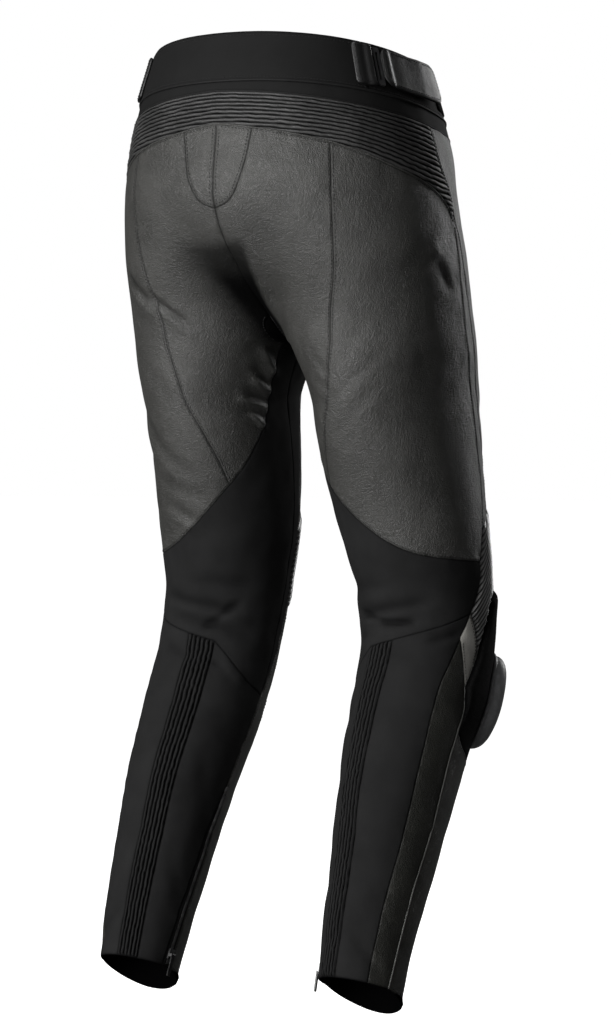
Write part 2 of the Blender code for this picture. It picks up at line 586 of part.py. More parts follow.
def seam_shift(points, normals, amount):
    """Moves a loop's points inwards along the cloth, for the gap at a seam."""
    ahead = np.roll(points, -1, axis=0) - points
    ahead /= np.linalg.norm(ahead, axis=1, keepdims=True)
    behind = np.roll(ahead, 1, axis=0)
    first = np.cross(normals, behind)
    second = np.cross(normals, ahead)
    first /= np.linalg.norm(first, axis=1, keepdims=True)
    second /= np.linalg.norm(second, axis=1, keepdims=True)
    middle = first + second
    size = np.linalg.norm(middle, axis=1, keepdims=True)
    reach = np.minimum(2.0 / np.maximum(size, 0.2), 3.5)
    return middle / np.maximum(size, 1e-9) * reach * amount


def yoke_rows():
    """Rib rows of the yoke, along its upper edge: half a pitch apart, wider at the sides."""
    turns = np.arange(*YOKE_COLUMNS)
    size = np.abs(turns)
    edge = seam_height("piping_low_back", size)
    pitch = YOKE_RIB_PITCH[0] + (YOKE_RIB_PITCH[1] - YOKE_RIB_PITCH[0]) * smooth_step(size, 0.22, 0.50)
    return [np.stack([turns, edge + 0.5 * pitch * index], axis=1) for index in range(1, RIB_ROW_LIMIT)]


def knee_rows():
    """Rib rows over the knee: arcs that drop towards both sides."""
    top, middle, steepness = KNEE_ARCH
    turns = np.arange(*KNEE_COLUMNS)
    arch = steepness * (turns - middle) ** 2
    return [np.stack([turns, top + arch + 0.5 * KNEE_RIB_PITCH * index], axis=1)
            for index in range(RIB_ROW_LIMIT)]


def calf_rows():
    """Rib rows down the calf, between the strip's two edges."""
    downs = np.arange(CALF_TOP, HEM - RIB_MARGIN, CALF_STEP)
    inner = seam_height("rib_edge_in", downs, upright=True)
    outer = seam_height("rib_edge_out", downs, upright=True)
    return [np.stack([inner + (outer - inner) * index / (2.0 * CALF_RIBS), downs], axis=1)
            for index in range(1, 2 * CALF_RIBS)]


def seam_height(name, value, upright=False):
    """A seam's drop at a place round, or its place round at a drop."""
    run = SAMPLES[name]
    key, result = (1, 0) if upright else (0, 1)
    order = np.argsort(run[:, key])
    return np.interp(value, run[order, key], run[order, result])


RIB_ROWS = {"yoke": yoke_rows, "knee": knee_rows, "calf": calf_rows}


def rib_places(loop, kind):
    """Places, lifts and lines of a ribbed panel's rows, crest and valley by turns."""
    places, lifts, lines = [], [], []
    for index, row in enumerate(RIB_ROWS[kind]()):
        keep = inside_loop(row, loop, RIB_MARGIN)
        along = np.linspace(0.1, 0.9, 7)[:, None, None]
        between = row[None, :-1] * (1.0 - along) + row[None, 1:] * along
        clear = inside_loop(between.reshape(-1, 2), loop, RIB_MARGIN / 2.0)
        clear = clear.reshape(len(along), -1).all(axis=0)
        last = None
        for number in np.flatnonzero(keep):
            if last is not None and number == last + 1 and clear[last]:
                lines.append((len(places) - 1, len(places)))
            last = number
            places.append(row[number])
            lifts.append(RIB_HEIGHT if index % 2 == 0 else 0.0)
    return np.array(places), np.array(lifts), lines


def wall_mesh(loop, wall, edge, ribs=None, lift=0.0, shift=SEAM_GAP / 2.0, padded=False):
    """A wall's points and faces: an outer skin, a plain inner skin and the rim between them."""
    if ribs:
        extra, lifts, lines = rib_places(loop, ribs)
    else:
        extra, lines = inner_grid(loop, edge), []
        lifts = np.zeros(len(extra))
    count = len(loop)
    outer_places = np.concatenate([loop, extra]) if len(extra) else loop
    rise = np.concatenate([np.zeros(count), lifts]) + (pad_height(outer_places) if padded else 0.0)
    outer, normals = cloth(outer_places, rise + lift + wall)
    outer_faces = triangulate(loop, extra, lines)
    plain = inner_grid(loop, edge) if ribs else extra
    inner_places = np.concatenate([loop, plain]) if len(plain) else loop
    inner, _ = cloth(inner_places, np.full(len(inner_places), lift))
    inner_faces = triangulate(loop, plain, []) if ribs else outer_faces
    rim, rim_normals = outer[:count], normals[:count]
    move = seam_shift(rim, rim_normals, shift)
    outer[:count] += move
    inner[:count] += move
    base = len(outer)
    faces = list(outer_faces)
    faces += [(base + c, base + b, base + a) for a, b, c in inner_faces]
    for index in range(count):
        after = (index + 1) % count
        faces.append((after, index, base + index))
        faces.append((after, base + index, base + after))
    return np.concatenate([outer, inner]), faces


def finish_of(name):
    """The stand-in material of a finish."""
    material = bpy.data.materials.get(name)
    if material is None:
        material = bpy.data.materials.new(name)
        material.use_nodes = True
        colour, rough, metal = FINISHES[name]
        shader = material.node_tree.nodes["Principled BSDF"]
        shader.inputs["Base Color"].default_value = colour
        shader.inputs["Roughness"].default_value = rough
        shader.inputs["Metallic"].default_value = metal
    return material


def add_object(name, mesh, finish):
    """Puts a mesh in the trousers' collection under its own name."""
    piece = bpy.data.objects.new(name, mesh)
    mesh.materials.clear()
    mesh.materials.append(finish_of(finish))
    TROUSERS.objects.link(piece)
    return piece


def plain_mesh(points, faces, mirrored=False):
    """A mesh of the left side's points, or of their mirror image."""
    points = points * (-1.0, 1.0, 1.0) if mirrored else points
    faces = [face[::-1] for face in faces] if mirrored else faces
    mesh = bpy.data.meshes.new("wall")
    mesh.from_pydata(points.tolist(), [], faces)
    mesh.update()
    return mesh


def add_wall(name, points, faces, finish, mirrored=False):
    """A wall as an object, on the left side or mirrored to the right."""
    return add_object(name, plain_mesh(points, faces, mirrored), finish)


def make_panels():
    """All the cut and sewn panels."""
    for name, (seams, wall, finish, edge, ribs) in PANELS.items():
        points, faces = wall_mesh(loop_of(SAMPLES, seams), wall, edge, ribs, lift=-wall,
                                  padded=name in PAD_HEIGHT)
        add_wall(f"{name}_left", points, faces, finish)
        add_wall(f"{name}_right", points, faces, finish, mirrored=True)
    for name, (seams, wall, finish, edge, ribs) in CENTRE_PANELS.items():
        points, faces = wall_mesh(loop_of(SAMPLES, seams), wall, edge, ribs, lift=-wall)
        add_wall(name, points, faces, finish)
    for name, seams, mirrored in (("thigh_front_left", FRONT_LEFT, False),
                                  ("thigh_front_right", FRONT_RIGHT, True),
                                  ("fly_placket", FLY, False)):
        points, faces = wall_mesh(loop_of(SAMPLES, seams), LEATHER, PLAIN_EDGE, None, lift=-LEATHER)
        add_wall(name, points, faces, "leather", mirrored)


def rounded_patch(left, right, high, low, radius):
    """A patch's outline in (round, down) with rounded corners, given its real corner radius."""
    wide = radius / ROUND_LENGTH
    centres = ((right - wide, low - radius, 0.0), (left + wide, low - radius, 90.0),
               (left + wide, high + radius, 180.0), (right - wide, high + radius, 270.0))
    loop = []
    for turn, down, start in centres:
        for angle in np.radians(start + np.array([0.0, 45.0, 90.0])):
            loop.append((turn + wide * math.cos(angle), down + radius * math.sin(angle)))
    fine = []
    for first, second in zip(loop, loop[1:] + loop[:1]):
        first, second = np.array(first), np.array(second)
        length = np.linalg.norm((second - first) * (ROUND_LENGTH, 1.0))
        pieces = max(1, int(math.ceil(length / PATCH_EDGE)))
        fine += [first + (second - first) * index / pieces for index in range(pieces)]
    return np.array(fine)


# Patches are left and right in round, high and low in down, then the corner radius
RING_OUTLINE = (0.3505, 0.3685, -0.049, -0.008, 0.002)
RING_SLOT = (0.3560, 0.3630, -0.044, -0.013, 0.0012)
RING_WALL = 0.0026
RING_LIFT = 0.0003
CLOSING_TAB = (0.930, 1.055, -0.046, -0.010, 0.008)
CLOSING_TAB_WALL = 0.0022
SNAP_PLACE = (0.985, -0.028)
SNAP_RADIUS = 0.0065
SNAP_THICK = 0.0018

# What lies on the waistband: its patch, lift, thickness and finish
ADJUSTER = {
    "adjuster_loop": (0.298, 0.346, -0.050, -0.006, 0.003, LAY_ON, 0.0028, "waistband"),
    "adjuster_strap": (0.372, 0.548, -0.050, -0.010, 0.010, LAY_ON, 0.0024, "waistband"),
    "adjuster_hook_patch": (0.556, 0.640, -0.051, -0.008, 0.004, LAY_ON, 0.0014, "hook_tape"),
}


def make_adjusters():
    """The hook-and-loop waist adjusters on both sides."""
    for name, (left, right, high, low, radius, lift, thick, finish) in ADJUSTER.items():
        loop = rounded_patch(left, right, high, low, radius)
        points, faces = wall_mesh(loop, thick, PATCH_EDGE, lift=lift, shift=0.0)
        add_wall(f"{name}_left", points, faces, finish)
        add_wall(f"{name}_right", points, faces, finish, mirrored=True)
    for side, mirrored in (("left", False), ("right", True)):
        points, faces = wall_mesh(rounded_patch(*RING_OUTLINE), RING_WALL, PATCH_EDGE,
                                  lift=RING_LIFT, shift=0.0)
        ring = add_wall(f"adjuster_ring_{side}", points, faces, "slider_plastic", mirrored)
        points, faces = wall_mesh(rounded_patch(*RING_SLOT), 3.0 * RING_WALL, PATCH_EDGE,
                                  lift=RING_LIFT - RING_WALL, shift=0.0)
        add_tool(ring, plain_mesh(points, faces, mirrored), Matrix.Identity(4), "DIFFERENCE")


def local_frame(turn, down, lift, mirrored):
    """A place on the cloth as a matrix: X round the cloth, Y outwards, Z up along it."""
    point, normal = cloth(np.array([[turn, down]]), np.array([lift]))
    ahead, _ = cloth(np.array([[turn + 1e-3, down]]), np.array([lift]))
    outward = Vector(normal[0])
    across = Vector(ahead[0] - point[0])
    across -= outward * across.dot(outward)
    across.normalize()
    place = Vector(point[0])
    if mirrored:
        place.x, outward.x = -place.x, -outward.x
        across.x = -across.x
        across.negate()
    up = across.cross(outward)
    if up.z < 0.0:
        across.negate()
        up = across.cross(outward)
    frame = Matrix((across, outward, up)).transposed().to_4x4()
    frame.translation = place
    return frame


def box_mesh(size, centre=(0.0, 0.0, 0.0)):
    """A box of the given size, as a mesh."""
    mesh = bpy.data.meshes.new("box")
    shape = bmesh.new()
    bmesh.ops.create_cube(shape, size=1.0)
    bmesh.ops.scale(shape, vec=size, verts=shape.verts)
    bmesh.ops.translate(shape, vec=centre, verts=shape.verts)
    shape.to_mesh(mesh)
    shape.free()
    return mesh


def rod_mesh(radius, length, axis, centre=(0.0, 0.0, 0.0), sides=12):
    """A round rod along X or Y, as a mesh."""
    mesh = bpy.data.meshes.new("rod")
    shape = bmesh.new()
    bmesh.ops.create_cone(shape, cap_ends=True, segments=sides, radius1=radius, radius2=radius,
                          depth=length)
    turn = Matrix.Rotation(math.pi / 2.0, 3, "Y" if axis == "X" else "X")
    bmesh.ops.rotate(shape, cent=(0.0, 0.0, 0.0), matrix=turn, verts=shape.verts)
    bmesh.ops.translate(shape, vec=centre, verts=shape.verts)
    shape.to_mesh(mesh)
    shape.free()
    return mesh


def add_tool(piece, mesh, frame, operation):
    """Joins a shape to a piece, or cuts it out, through a hidden guide object."""
    tool = bpy.data.objects.new(f"{piece.name}_tool_{len(piece.modifiers)}", mesh)
    tool.matrix_world = frame
    tool.hide_render = True
    tool.display_type = "WIRE"
    TOOLS.objects.link(tool)
    step = piece.modifiers.new(operation.lower(), "BOOLEAN")
    step.operation = operation
    step.solver = "EXACT"
    step.object = tool


def make_knee_sliders():
    """The hard knee pucks: a rounded outline with a domed top, on the hook-and-loop base."""
    centre = np.array(KNEE_SLIDER_PLACE)
    half_width, half_height = KNEE_SLIDER_HALF
    rise, rim, spokes = KNEE_SLIDER_RISE, KNEE_SLIDER_RIM, 24
    rings = (0.0, 0.45, 0.80, 1.0)
    angles = np.linspace(0.0, 2.0 * math.pi, spokes, endpoint=False)
    power = KNEE_SLIDER_SQUARENESS
    squared = (np.abs(np.cos(angles)) ** power + np.abs(np.sin(angles)) ** power) ** (-1.0 / power)
    narrowing = 1.0 - KNEE_SLIDER_NARROWING * np.sin(angles)
    places, heights = [centre], [rise]
    for ring in rings[1:]:
        across = ring * squared * np.cos(angles) * half_width * narrowing / ROUND_LENGTH
        along = ring * squared * np.sin(angles) * half_height
        places += list(centre + np.stack([across, along], axis=1))
        heights += [rim + (rise - rim) * math.sqrt(1.0 - ring**KNEE_SLIDER_DOME)] * spokes
    places = np.array(places)
    foot = pad_height(places) + LAY_ON
    outer, _ = cloth(places, np.array(heights) + foot)
    inner, _ = cloth(places, foot)
    base = len(places)
    faces = []
    for index in range(spokes):
        after = (index + 1) % spokes
        faces.append((0, 1 + index, 1 + after))
        for ring in range(len(rings) - 2):
            near, far = 1 + ring * spokes, 1 + (ring + 1) * spokes
            faces.append((near + index, far + index, far + after))
            faces.append((near + index, far + after, near + after))
    faces += [tuple(base + corner_id for corner_id in face[::-1]) for face in list(faces)]
    last = 1 + (len(rings) - 2) * spokes
    for index in range(spokes):
        after = (index + 1) % spokes
        faces.append((last + after, last + index, base + last + index))
        faces.append((last + after, base + last + index, base + last + after))
    points = np.concatenate([outer, inner])
    add_wall("knee_slider_left", points, faces, "slider_plastic")
    add_wall("knee_slider_right", points, faces, "slider_plastic", mirrored=True)


def hanging(frame):
    """A frame turned about its X, the pin, until the piece on it hangs as low as it can."""
    outward, up = frame.col[1], frame.col[2]
    return frame @ Matrix.Rotation(math.atan2(-outward.z, up.z), 4, "X")


def make_ankle_zips():
    """Each ankle zip's slider with its bail, and the pull tab that hangs on the bail's pin."""
    for side, mirrored in (("left", False), ("right", True)):
        frame = local_frame(*ANKLE_SLIDER_PLACE, ANKLE_PIN_OUT, mirrored)
        slider = add_object(f"ankle_slider_{side}", box_mesh((0.0078, 0.0022, 0.0110),
                                                           (0.0, -0.0034, 0.001)), "metal")
        slider.matrix_world = frame
        for way in (-1.0, 1.0):
            add_tool(slider, box_mesh((0.0009, 0.0042, 0.0030), (way * 0.0031, -0.0009, 0.0)), frame,
                     "UNION")
        add_tool(slider, rod_mesh(ANKLE_PIN_RADIUS, 0.0058, "X"), frame, "UNION")
        tab = add_object(f"ankle_pull_{side}", box_mesh((0.0044, 0.0016, 0.0210),
                                                      (0.0, 0.0, -0.0118)), "metal")
        tab.matrix_world = hanging(frame)
        add_tool(tab, rod_mesh(ANKLE_KNUCKLE_RADIUS, 0.0044, "X"), tab.matrix_world, "UNION")
        add_tool(tab, rod_mesh(ANKLE_EYE_RADIUS, 0.0060, "X"), hanging(frame), "DIFFERENCE")


def make_waist_closure():
    """The closing tab across the centre front of the waistband, with its snap."""
    loop = rounded_patch(*CLOSING_TAB)
    points, faces = wall_mesh(loop, CLOSING_TAB_WALL, PATCH_EDGE, lift=LAY_ON, shift=0.0)
    add_wall("waist_closing_tab", points, faces, "waistband")
    lift = LAY_ON + CLOSING_TAB_WALL + SEAM_GAP + SNAP_THICK / 2.0
    frame = local_frame(*SNAP_PLACE, lift, False)
    snap = add_object("waist_snap", rod_mesh(SNAP_RADIUS, SNAP_THICK, "Y", sides=20), "metal")
    snap.matrix_world = frame


def clear_scene():
    """Removes the scene's own objects."""
    for item in list(bpy.data.objects):
        bpy.data.objects.remove(item, do_unlink=True)


clear_scene()
TROUSERS = bpy.data.collections.new("motorcycle_trousers")
TOOLS = bpy.data.collections.new("cutting_tools")
bpy.context.scene.collection.children.link(TROUSERS)
bpy.context.scene.collection.children.link(TOOLS)
SAMPLES = sample_seams()
make_panels()
make_adjusters()
make_knee_sliders()
make_ankle_zips()
make_waist_closure()
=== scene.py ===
"""Looks of the motorcycle trousers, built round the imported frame.

Metres, +Z up. The front faces -Y and the wearer's left is +X. A place on the cloth is
(round, down): round runs from 0 at the centre back, over 0.5 at the side seam, to 1 at the centre
front, and down is the drop below the waist seam. Every sewn piece is a shell over that form,
inside a loop of named seams.
"""
import logging
import math
from dataclasses import dataclass
from enum import Enum
from typing import Callable

import bpy
import numpy as np
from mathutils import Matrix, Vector
from mathutils.geometry import delaunay_2d_cdt


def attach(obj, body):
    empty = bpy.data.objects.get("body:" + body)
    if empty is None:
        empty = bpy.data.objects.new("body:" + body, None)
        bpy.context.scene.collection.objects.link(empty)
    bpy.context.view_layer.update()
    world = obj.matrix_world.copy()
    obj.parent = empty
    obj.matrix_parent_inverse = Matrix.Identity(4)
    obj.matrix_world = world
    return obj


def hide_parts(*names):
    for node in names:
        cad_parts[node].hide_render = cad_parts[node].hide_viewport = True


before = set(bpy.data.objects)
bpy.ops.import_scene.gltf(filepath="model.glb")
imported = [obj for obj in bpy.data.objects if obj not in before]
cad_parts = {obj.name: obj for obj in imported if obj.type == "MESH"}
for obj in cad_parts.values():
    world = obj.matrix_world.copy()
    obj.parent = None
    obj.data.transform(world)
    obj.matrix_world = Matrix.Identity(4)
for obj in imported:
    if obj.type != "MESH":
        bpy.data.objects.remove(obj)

Array = np.ndarray
LOG = logging.getLogger("trousers")
BODY = "trousers"
WAIST_TOP = -0.053
HEM = 0.917
CROTCH = 0.242
SEAT_TOP = 0.105
TINY = 1e-12
FULL_TURN = 6.2832
# Metres to a turn of round where a usual girth will do: in general, at the waist, in the seat
USUAL_GIRTH = 0.48
WAIST_GIRTH = 0.46
SEAT_GIRTH = 0.55
# From (round, down) to the metres of a piece's flat map
FLAT_SCALE = (0.5, 1.0)
# Where the padding over the knee fades, round and down
PAD_ROUND = (0.72, 0.90)
PAD_DOWN = (0.610, 0.672)


class Side(Enum):
    """Where a piece lies, with the sign of its x."""

    LEFT = "left"
    RIGHT = "right"
    CENTRE = ""

    @property
    def sign(self) -> float:
        """-1 on the wearer's right, 1 elsewhere."""
        return -1.0 if self is Side.RIGHT else 1.0

    def named(self, name: str) -> str:
        """A node's name on this side."""
        return f"{name}_{self.value}" if self.value else name


BOTH = (Side.LEFT, Side.RIGHT)
CENTRE_ONLY = (Side.CENTRE,)


class Ribs(Enum):
    """The three kinds of ribbed panel."""

    NONE = "none"
    YOKE = "yoke"
    KNEE = "knee"
    CALF = "calf"


def smooth_step(value: Array, low: float, high: float) -> Array:
    """0 below low, 1 above high, and an even S (3t^2 - 2t^3) between them."""
    part = np.clip((value - low) / (high - low), 0.0, 1.0)
    return part * part * (3.0 - 2.0 * part)


def unit(vectors: Array) -> Array:
    """Rows of length one, each divided by its own length."""
    return vectors / np.maximum(np.linalg.norm(vectors, axis=-1, keepdims=True), TINY)


def lengths_along(path: Array) -> Array:
    """The distance from a path's start to each of its points."""
    return np.concatenate([[0.0], np.cumsum(np.linalg.norm(np.diff(path, axis=0), axis=1))])


def resampled(marks: Array, length: Array, values: Array) -> Array:
    """Rows at given distances along a path, on straight lines between its points.

    Args:
        marks: the wanted distances.
        length: the distance of each of the path's points.
        values: a row for each of the path's points.

    Returns:
        A row for each mark.
    """
    return np.stack([np.interp(marks, length, column) for column in values.T], axis=1)


def table_curve(value: Array, places: Array, heights: Array) -> Array:
    """A smooth monotone cubic through a table's rows.

    Args:
        value: where the curve is wanted; past the table's ends it stays level.
        places: the rows' places, rising.
        heights: the rows' heights.

    Returns:
        The curve's height at each value.
    """
    gap = np.diff(places)
    rise = np.diff(heights) / gap
    slope = np.zeros(len(places))
    slope[0], slope[-1] = rise[0], rise[-1]
    near, far = 2.0 * gap[1:] + gap[:-1], gap[1:] + 2.0 * gap[:-1]
    same = rise[:-1] * rise[1:] > 0.0
    slope[1:-1] = np.where(same, (near + far) / (near / np.where(same, rise[:-1], 1.0)
                                                 + far / np.where(same, rise[1:], 1.0)), 0.0)
    row = np.clip(np.searchsorted(places, value, side="right") - 1, 0, len(places) - 2)
    part = np.clip((value - places[row]) / gap[row], 0.0, 1.0)
    rest = 1.0 - part
    return ((1.0 + 2.0 * part) * rest**2 * heights[row] + part * rest**2 * gap[row] * slope[row]
            + part**2 * (3.0 - 2.0 * part) * heights[row + 1]
            - part**2 * rest * gap[row] * slope[row + 1])


def columns(names: tuple[str, ...], rows: tuple[tuple[float, ...], ...]) -> dict[str, Array]:
    """A table as one array for each named column."""
    return {name: np.array([row[index] for row in rows]) for index, name in enumerate(names)}


# Sections of the seat and of one leg, as the pieces were cut to
TRUNK = columns(("down", "half_width", "back", "front"), (
    (-0.053, 0.150, 0.138, 0.106), (0.000, 0.167, 0.149, 0.115), (0.045, 0.181, 0.150, 0.117),
    (0.110, 0.190, 0.160, 0.131), (0.170, 0.196, 0.166, 0.137), (0.242, 0.198, 0.148, 0.124),
    (0.300, 0.194, 0.140, 0.112)))
LEG_NAMES = ("down", "outer", "inner", "middle", "back", "front", "tilt", "turn")
LEG = columns(LEG_NAMES, (
    (0.105, 0.190, 0.000, -0.022, 0.117, 0.116, 0.0, 0.0),
    (0.170, 0.192, 0.000, -0.023, 0.118, 0.116, 0.0, 0.0),
    (0.242, 0.194, 0.021, -0.027, 0.117, 0.114, 0.0, 3.0),
    (0.300, 0.190, 0.032, -0.034, 0.111, 0.107, -6.0, 6.0),
    (0.370, 0.192, 0.034, -0.045, 0.096, 0.094, -9.0, 8.0),
    (0.440, 0.195, 0.040, -0.056, 0.080, 0.085, -10.0, 9.0),
    (0.510, 0.195, 0.055, -0.062, 0.069, 0.084, -4.0, 10.0),
    (0.575, 0.197, 0.063, -0.051, 0.062, 0.080, 8.0, 10.0),
    (0.640, 0.198, 0.068, -0.025, 0.065, 0.077, 17.0, 10.0),
    (0.720, 0.196, 0.078, 0.011, 0.067, 0.068, 20.0, 10.0),
    (0.800, 0.192, 0.086, 0.044, 0.060, 0.054, 21.0, 10.0),
    (0.880, 0.186, 0.093, 0.077, 0.053, 0.044, 21.0, 10.0),
    (0.917, 0.183, 0.098, 0.088, 0.052, 0.044, 21.0, 10.0)))

# The cloth's real length for one turn of round, down the trousers
GIRTH = columns(("down", "length"), (
    (-0.053, 0.44), (0.045, 0.50), (0.17, 0.56), (0.242, 0.58), (0.30, 0.56), (0.37, 0.52),
    (0.44, 0.48), (0.51, 0.46), (0.575, 0.44), (0.64, 0.44), (0.72, 0.42), (0.80, 0.38),
    (0.88, 0.34), (0.917, 0.33)))

# Folds: the side they lie on, both ends as round and down, half width and height
FOLDS = (
    ("", 0.40, 0.512, 0.16, 0.534, 0.010, -0.0035), ("", 0.36, 0.536, 0.12, 0.566, 0.009, -0.0030),
    ("", 0.30, 0.492, 0.10, 0.505, 0.010, -0.0022), ("", 0.38, 0.524, 0.14, 0.549, 0.008, 0.0020),
    ("", 0.92, 0.235, 0.80, 0.215, 0.014, -0.0035), ("", 0.90, 0.262, 0.74, 0.250, 0.014, -0.0030),
    ("", 0.36, 0.861, 0.212, 0.890, 0.009, -0.0014), ("", 0.30, 0.870, 0.40, 0.909, 0.008, -0.0016),
    ("", 0.215, 0.745, 0.338, 0.840, 0.012, -0.0012), ("", 0.14, 0.700, 0.05, 0.790, 0.012, -0.0018),
    ("", 0.16, 0.800, 0.09, 0.860, 0.009, -0.0012), ("", 0.62, 0.760, 0.86, 0.740, 0.012, -0.0016),
    ("", 0.58, 0.330, 0.80, 0.300, 0.014, -0.0018), ("", 0.62, 0.385, 0.86, 0.350, 0.012, -0.0016),
    ("left", 0.345, 0.164, 0.245, 0.203, 0.008, -0.0038),
    ("left", 0.330, 0.182, 0.240, 0.216, 0.009, 0.0020),
    ("left", 0.262, 0.190, 0.180, 0.228, 0.006, -0.0032),
    ("left", 0.250, 0.205, 0.180, 0.238, 0.006, 0.0016),
    ("left", 0.080, 0.246, 0.034, 0.277, 0.0045, 0.0042),
    ("left", 0.092, 0.262, 0.044, 0.285, 0.0040, -0.0016),
    ("left", 0.092, 0.276, 0.038, 0.294, 0.0040, 0.0038),
    ("left", 0.102, 0.287, 0.048, 0.301, 0.0036, -0.0014),
    ("left", 0.118, 0.295, 0.046, 0.309, 0.0038, 0.0036),
    ("left", 0.112, 0.304, 0.053, 0.318, 0.0034, -0.0012),
    ("left", 0.098, 0.310, 0.066, 0.330, 0.0034, 0.0032),
    ("left", 0.335, 0.258, 0.235, 0.290, 0.010, -0.0013),
    ("left", 0.372, 0.325, 0.220, 0.374, 0.009, -0.0014),
    ("left", 0.360, 0.345, 0.250, 0.388, 0.008, 0.0008),
    ("left", 0.410, 0.372, 0.200, 0.394, 0.009, -0.0013),
    ("left", 0.340, 0.402, 0.240, 0.424, 0.008, -0.0018),
    ("left", 0.440, 0.290, 0.300, 0.335, 0.010, -0.0014),
    ("left", 0.430, 0.318, 0.330, 0.352, 0.009, 0.0010),
    ("left", 0.440, 0.340, 0.320, 0.380, 0.008, -0.0012),
    ("left", 0.430, 0.415, 0.330, 0.440, 0.008, -0.0010),
    ("left", 0.330, 0.415, 0.250, 0.434, 0.006, 0.0010),
    ("left", 0.245, 0.562, 0.152, 0.521, 0.006, -0.0030),
    ("left", 0.367, 0.576, 0.253, 0.602, 0.007, -0.0022),
    ("left", 0.205, 0.598, 0.145, 0.608, 0.004, -0.0024),
    ("left", 0.170, 0.602, 0.095, 0.618, 0.005, 0.0026),
    ("right", 0.255, 0.272, 0.350, 0.212, 0.006, -0.00054),
    ("right", 0.250, 0.292, 0.378, 0.252, 0.005, -0.00066),
    ("right", 0.262, 0.300, 0.360, 0.264, 0.005, 0.00036),
    ("right", 0.232, 0.336, 0.368, 0.277, 0.006, -0.00084),
    ("right", 0.245, 0.347, 0.350, 0.303, 0.005, -0.00042),
    ("right", 0.194, 0.252, 0.245, 0.276, 0.006, -0.00120),
    ("right", 0.186, 0.277, 0.243, 0.286, 0.005, -0.00102),
    ("right", 0.172, 0.296, 0.230, 0.301, 0.005, -0.00078),
    ("right", 0.455, 0.156, 0.490, 0.192, 0.007, -0.0026),
    ("right", 0.440, 0.140, 0.480, 0.172, 0.008, 0.0016),
    ("right", 0.400, 0.266, 0.465, 0.257, 0.010, -0.00096),
    ("right", 0.150, 0.530, 0.262, 0.543, 0.0045, -0.0034),
    ("right", 0.240, 0.543, 0.335, 0.541, 0.0042, -0.0030),
    ("right", 0.160, 0.556, 0.360, 0.549, 0.006, 0.0020),
    ("right", 0.370, 0.566, 0.468, 0.552, 0.006, -0.0028),
)


